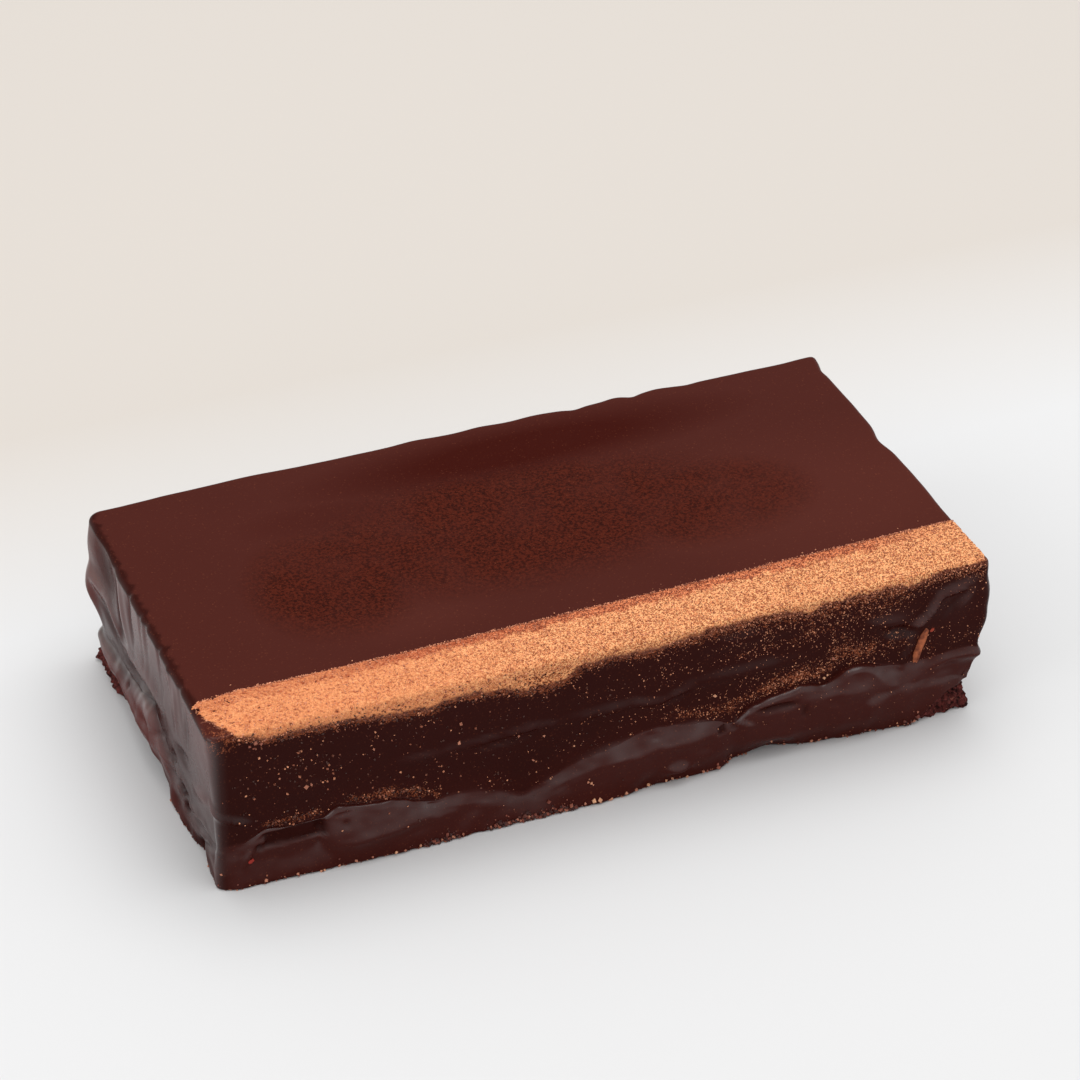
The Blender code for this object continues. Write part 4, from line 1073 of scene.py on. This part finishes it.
class Nodes:
    # short names for adding and joining the nodes of one material

    def __init__(self, name):
        self.material = bpy.data.materials.new(name)
        self.material.use_nodes = True
        self.tree = self.material.node_tree
        self.shader = self.tree.nodes["Principled BSDF"]
        coordinates = self.tree.nodes.new("ShaderNodeTexCoord")
        self.object = coordinates.outputs["Object"]

    def put(self, socket, value):
        if isinstance(value, bpy.types.NodeSocket):
            self.tree.links.new(value, socket)
        else:
            socket.default_value = value

    def add(self, kind, inputs=None, **settings):
        node = self.tree.nodes.new("ShaderNode" + kind)
        for key, value in settings.items():
            setattr(node, key, value)
        for key, value in (inputs or {}).items():
            self.put(node.inputs[key], value)
        return node

    def noise(self, scale, detail=2.0, roughness=0.5, place=None):
        values = {"Vector": place or self.object, "Scale": scale, "Detail": detail, "Roughness": roughness}
        return self.add("TexNoise", values).outputs["Fac"]

    def span(self, value, low, high, toLow=0.0, toHigh=1.0):
        values = {"Value": value, "From Min": low, "From Max": high, "To Min": toLow, "To Max": toHigh}
        return self.add("MapRange", values).outputs["Result"]

    def mix(self, factor, first, second):
        node = self.add("Mix", {0: factor}, data_type="RGBA")
        for key, value in ((6, first), (7, second)):
            self.put(node.inputs[key], (*value, 1.0) if isinstance(value, tuple) else value)
        return node.outputs[2]

    def ramp(self, value, stops):
        # colours at places along a value, each stop a place and a colour
        stops = list(stops)
        node = self.add("ValToRGB", {"Fac": value})
        marks = node.color_ramp.elements
        while len(marks) < len(stops):
            marks.new(0.5)
        for mark, (place, colour) in zip(marks, stops):
            mark.position = place
            mark.color = (*colour, 1.0)
        return node.outputs["Color"]

    def attribute(self, name):
        return self.add("Attribute", attribute_name=name).outputs["Fac"]

    def cells(self, scale):
        # a random value for each small grain
        colour = self.add("TexVoronoi", {"Vector": self.object, "Scale": scale}).outputs["Color"]
        return self.add("SeparateXYZ", {"Vector": colour}).outputs["X"]

    def spot(self, middle, half):
        # 1 at a place seen from above, fading to 0 at its half widths
        scale = (1000.0 / half[0], 1000.0 / half[1], 0.0)
        shift = (-middle[0] / half[0], -middle[1] / half[1], 0.0)
        moved = self.add("Mapping", {"Vector": self.object, "Location": shift, "Scale": scale})
        values = {"Vector": moved.outputs["Vector"]}
        return self.add("TexGradient", values, gradient_type="SPHERICAL").outputs["Fac"]

    def math(self, operation, first, second):
        return self.add("Math", {0: first, 1: second}, operation=operation).outputs[0]

    def bump(self, height, strength, distance):
        values = {"Height": height, "Strength": strength, "Distance": distance}
        self.put(self.shader.inputs["Normal"], self.add("Bump", values).outputs["Normal"])

    def use(self, name, value):
        self.put(self.shader.inputs[name], value)


def placesOf(n, kind, reach):
    # the wide places of one kind on the top, each as its mask and strength
    return [(n.span(n.spot(middle, half), 0.0, reach), strong) for middle, half, strong in finishes[kind]]


def chocolate():
    n = Nodes("chocolate coat")
    height = n.add("SeparateXYZ", {"Vector": n.object}).outputs["Z"]
    onTop = n.span(height, *finishes["topFrom"])
    broad = n.noise(28.0, 3.0)
    # painted shade: the walls' darker brown
    sides = n.mix(broad, *finishes["shadedWallBrown"])
    # painted sheen along the ledge and the glossy streaks
    sides = n.mix(n.attribute("ledge"), sides, n.mix(broad, *finishes["sheenLedgeBrown"]))
    # painted light on the left end
    sides = n.mix(n.attribute("end"), sides, n.mix(broad, *finishes["litEndBrown"]))
    # painted shade: recesses and pits darkened
    sides = n.mix(n.math("MULTIPLY", n.attribute("sunken"), 0.6), sides, finishes["pitShadeBrown"])
    patch = 0.0
    for mask, strong in placesOf(n, "patches", 0.4):
        patch = n.math("MAXIMUM", n.math("MULTIPLY", mask, strong), patch)
    patch = n.math("MULTIPLY", patch, n.span(n.noise(45.0, 2.0), 0.3, 0.55, 0.55, 1.0))
    mottle = n.span(n.noise(1300.0, 2.0, 0.7), 0.38, 0.60)
    # painted light: the top's lighter brown
    top = n.mix(broad, *finishes["litTopBrown"])
    # painted sheen on the top
    for mask, strong in placesOf(n, "paintedSheens", 0.7):
        top = n.mix(n.math("MULTIPLY", mask, strong), top, finishes["topSheen"])
    top = n.mix(patch, top, n.mix(mottle, *finishes["topGrain"]))
    # painted reflection: dark bands across the top
    reflectionBand = 0.0
    for mask, strong in placesOf(n, "darkReflectionBands", 0.6):
        reflectionBand = n.math("MAXIMUM", n.math("MULTIPLY", mask, strong), reflectionBand)
    top = n.mix(n.math("MULTIPLY", reflectionBand, 0.85), top, finishes["darkReflectionBrown"])
    top = n.mix(n.math("MULTIPLY", n.attribute("edge"), 0.85), top, finishes["edgeBrown"])
    brown = n.mix(onTop, sides, top)
    wide = n.span(n.noise(420.0, 2.0), 0.3, 0.7, 0.2, 1.8)
    dust = n.math("MULTIPLY", n.attribute("dust"), wide)
    lit = n.span(n.math("ADD", dust, n.cells(3000.0)), 0.95, 1.15)
    n.use("Base Color", n.mix(lit, brown, n.mix(n.cells(3100.0), *finishes["fineDust"])))
    n.use("Roughness", n.span(n.math("ADD", onTop, n.noise(90.0, 4.0)), 0.3, 1.7, 0.24, 0.42))
    kinds = finishes["gloss"]
    dull = n.math("MAXIMUM", n.math("MAXIMUM", patch, reflectionBand), n.attribute("edge"))
    topGloss = n.math("MULTIPLY", onTop, n.span(dull, 0.0, 1.0, kinds["top"], kinds["grainy"]))
    n.use("Coat Weight", n.math("ADD", n.attribute("gloss"), topGloss))
    n.use("Coat Roughness", kinds["roughness"])
    n.use("IOR", 1.05)
    n.bump(n.noise(900.0, 3.0), 0.25, 0.00012)
    return n.material


def copper():
    n = Nodes("copper powder")
    grain = n.cells(3500.0)
    fine = n.noise(1500.0, 3.0, 0.7)
    centred = n.math("SUBTRACT", grain, 0.5)
    spread = n.math("MULTIPLY", centred, n.attribute("coarse"))
    clumps = n.span(n.noise(260.0, 3.0), 0.3, 0.7, -0.07, 0.07)
    tone = n.math("ADD", n.math("ADD", spread, clumps), n.span(fine, 0.3, 0.7, 0.34, 0.66))
    plain = n.ramp(tone, zip((0.08, 0.5, 0.9), finishes["copper"]))
    red = n.ramp(tone, zip((0.1, 0.5, 0.95), finishes["redCopper"]))
    tone = n.mix(n.attribute("red"), plain, red)
    worn = n.math("ADD", n.attribute("thin"), n.math("MULTIPLY", centred, 0.5))
    n.use("Base Color", n.mix(n.span(worn, 0.35, 1.0), tone, finishes["thinCopper"]))
    n.use("Roughness", 0.85)
    n.use("IOR", 1.3)
    n.bump(n.math("ADD", fine, n.math("MULTIPLY", grain, 0.6)), 0.8, 0.0002)
    return n.material


def looseBits(name, places, tones, roughness):
    # grains or crumbs, each of one tone
    n = Nodes(name)
    n.use("Base Color", n.ramp(n.attribute("shade"), zip(places, finishes[tones])))
    n.use("Roughness", roughness)
    return n.material


def biscuitCrumb():
    n = Nodes("cocoa biscuit")
    dark, light, fleck = finishes["biscuit"]
    lumpy = n.noise(850.0, 4.0, 0.7)
    flecks = n.span(n.noise(1500.0, 1.0), 0.68, 0.74)
    n.use("Base Color", n.mix(flecks, n.mix(n.span(lumpy, 0.38, 0.66), dark, light), fleck))
    n.use("Roughness", 0.8)
    n.use("IOR", 1.2)
    n.bump(lumpy, 0.8, 0.0006)
    return n.material


def nutFlesh():
    n = Nodes("nut bits")
    dark, light, red = finishes["nuts"]
    streaks = n.noise(420.0, 4.0, 0.6)
    n.use("Base Color", n.mix(n.attribute("red"), n.mix(n.span(streaks, 0.34, 0.64), dark, light), red))
    n.use("Roughness", 0.6)
    n.use("IOR", 1.25)
    n.bump(streaks, 0.5, 0.0004)
    return n.material


looseCopper = looseBits("copper grains", (0.0, 0.45, 1.0), "grains", 0.6)
toasted = looseBits("toasted crumbs", (0.0, 0.35, 0.7, 1.0), "crumbs", 0.7)
for piece, material in (
    (coatPiece, chocolate()), (biscuitPiece, biscuitCrumb()), (powderPiece, copper()),
    (grainPiece, looseCopper), (crumbPiece, toasted), (nutPiece, nutFlesh()),
):
    piece.data.materials.append(material)
print("finishes done")

# floor, light and camera
studio = {
    "half": 4.0,  # of the floor's side, in metres
    "near": (0.722, 0.722, 0.724),
    "far": (0.630, 0.582, 0.532),  # warmer from just behind the cake
    # area lights, all aimed at the cake: place, size, power
    "lights": {
        "soft overhead": ((0.25, 0.25, 1.6), (1.6, 1.3), 13.7),
        "soft left": ((-1.5, -0.1, 0.9), (1.2, 0.9), 4.5),
    },
    "world": 0.79,
}


def buildFloor():
    bm = bmesh.new()
    bmesh.ops.create_grid(bm, x_segments=1, y_segments=1, size=studio["half"])
    mesh = bpy.data.meshes.new("floor")
    bm.to_mesh(mesh)
    bm.free()
    floor = bpy.data.objects.new("floor", mesh)
    scene.collection.objects.link(floor)
    n = Nodes("pale studio floor")
    behind = n.add("SeparateXYZ", {"Vector": n.object}).outputs["Y"]
    n.use("Base Color", n.mix(n.span(behind, 0.07, 0.17), studio["near"], studio["far"]))
    n.use("Roughness", 0.6)
    mesh.materials.append(n.material)


buildFloor()

for name, (place, size, power) in studio["lights"].items():
    lamp = bpy.data.lights.new(name, "AREA")
    lamp.shape = "RECTANGLE"
    lamp.size, lamp.size_y = size
    lamp.energy = power
    made = bpy.data.objects.new(name, lamp)
    made.location = place
    made.rotation_euler = (-Vector(place)).to_track_quat("-Z", "Y").to_euler()
    scene.collection.objects.link(made)
world = bpy.data.worlds.new("soft room")
world.use_nodes = True
world.node_tree.nodes["Background"].inputs["Color"].default_value = (1.0, 1.0, 1.0, 1.0)
world.node_tree.nodes["Background"].inputs["Strength"].default_value = studio["world"]
scene.world = world
scene.view_settings.view_transform = "Standard"

view = {
    "azimuth": -22.1697,
    "elevation": 34.8631,
    "roll": 0.5346,
    "lens": 133.76,
    "place": (-335.95, -830.43, 671.41),
}
lens = bpy.data.cameras.new("camera")
lens.lens = view["lens"]
lens.sensor_width = 36.0
lens.clip_end = 10.0
camera = bpy.data.objects.new("camera", lens)
a, e = radians(view["azimuth"]), radians(view["elevation"])
backward = Vector((sin(a) * cos(e), -cos(a) * cos(e), sin(e)))
across = Vector((cos(a), sin(a), 0))
facing = Matrix((across, backward.cross(across), backward)).transposed()
camera.matrix_world = (
    Matrix.Translation(Vector(view["place"]) * mm)
    @ facing.to_4x4()
    @ Matrix.Rotation(radians(view["roll"]), 4, "Z")
)
scene.collection.objects.link(camera)
scene.camera = camera
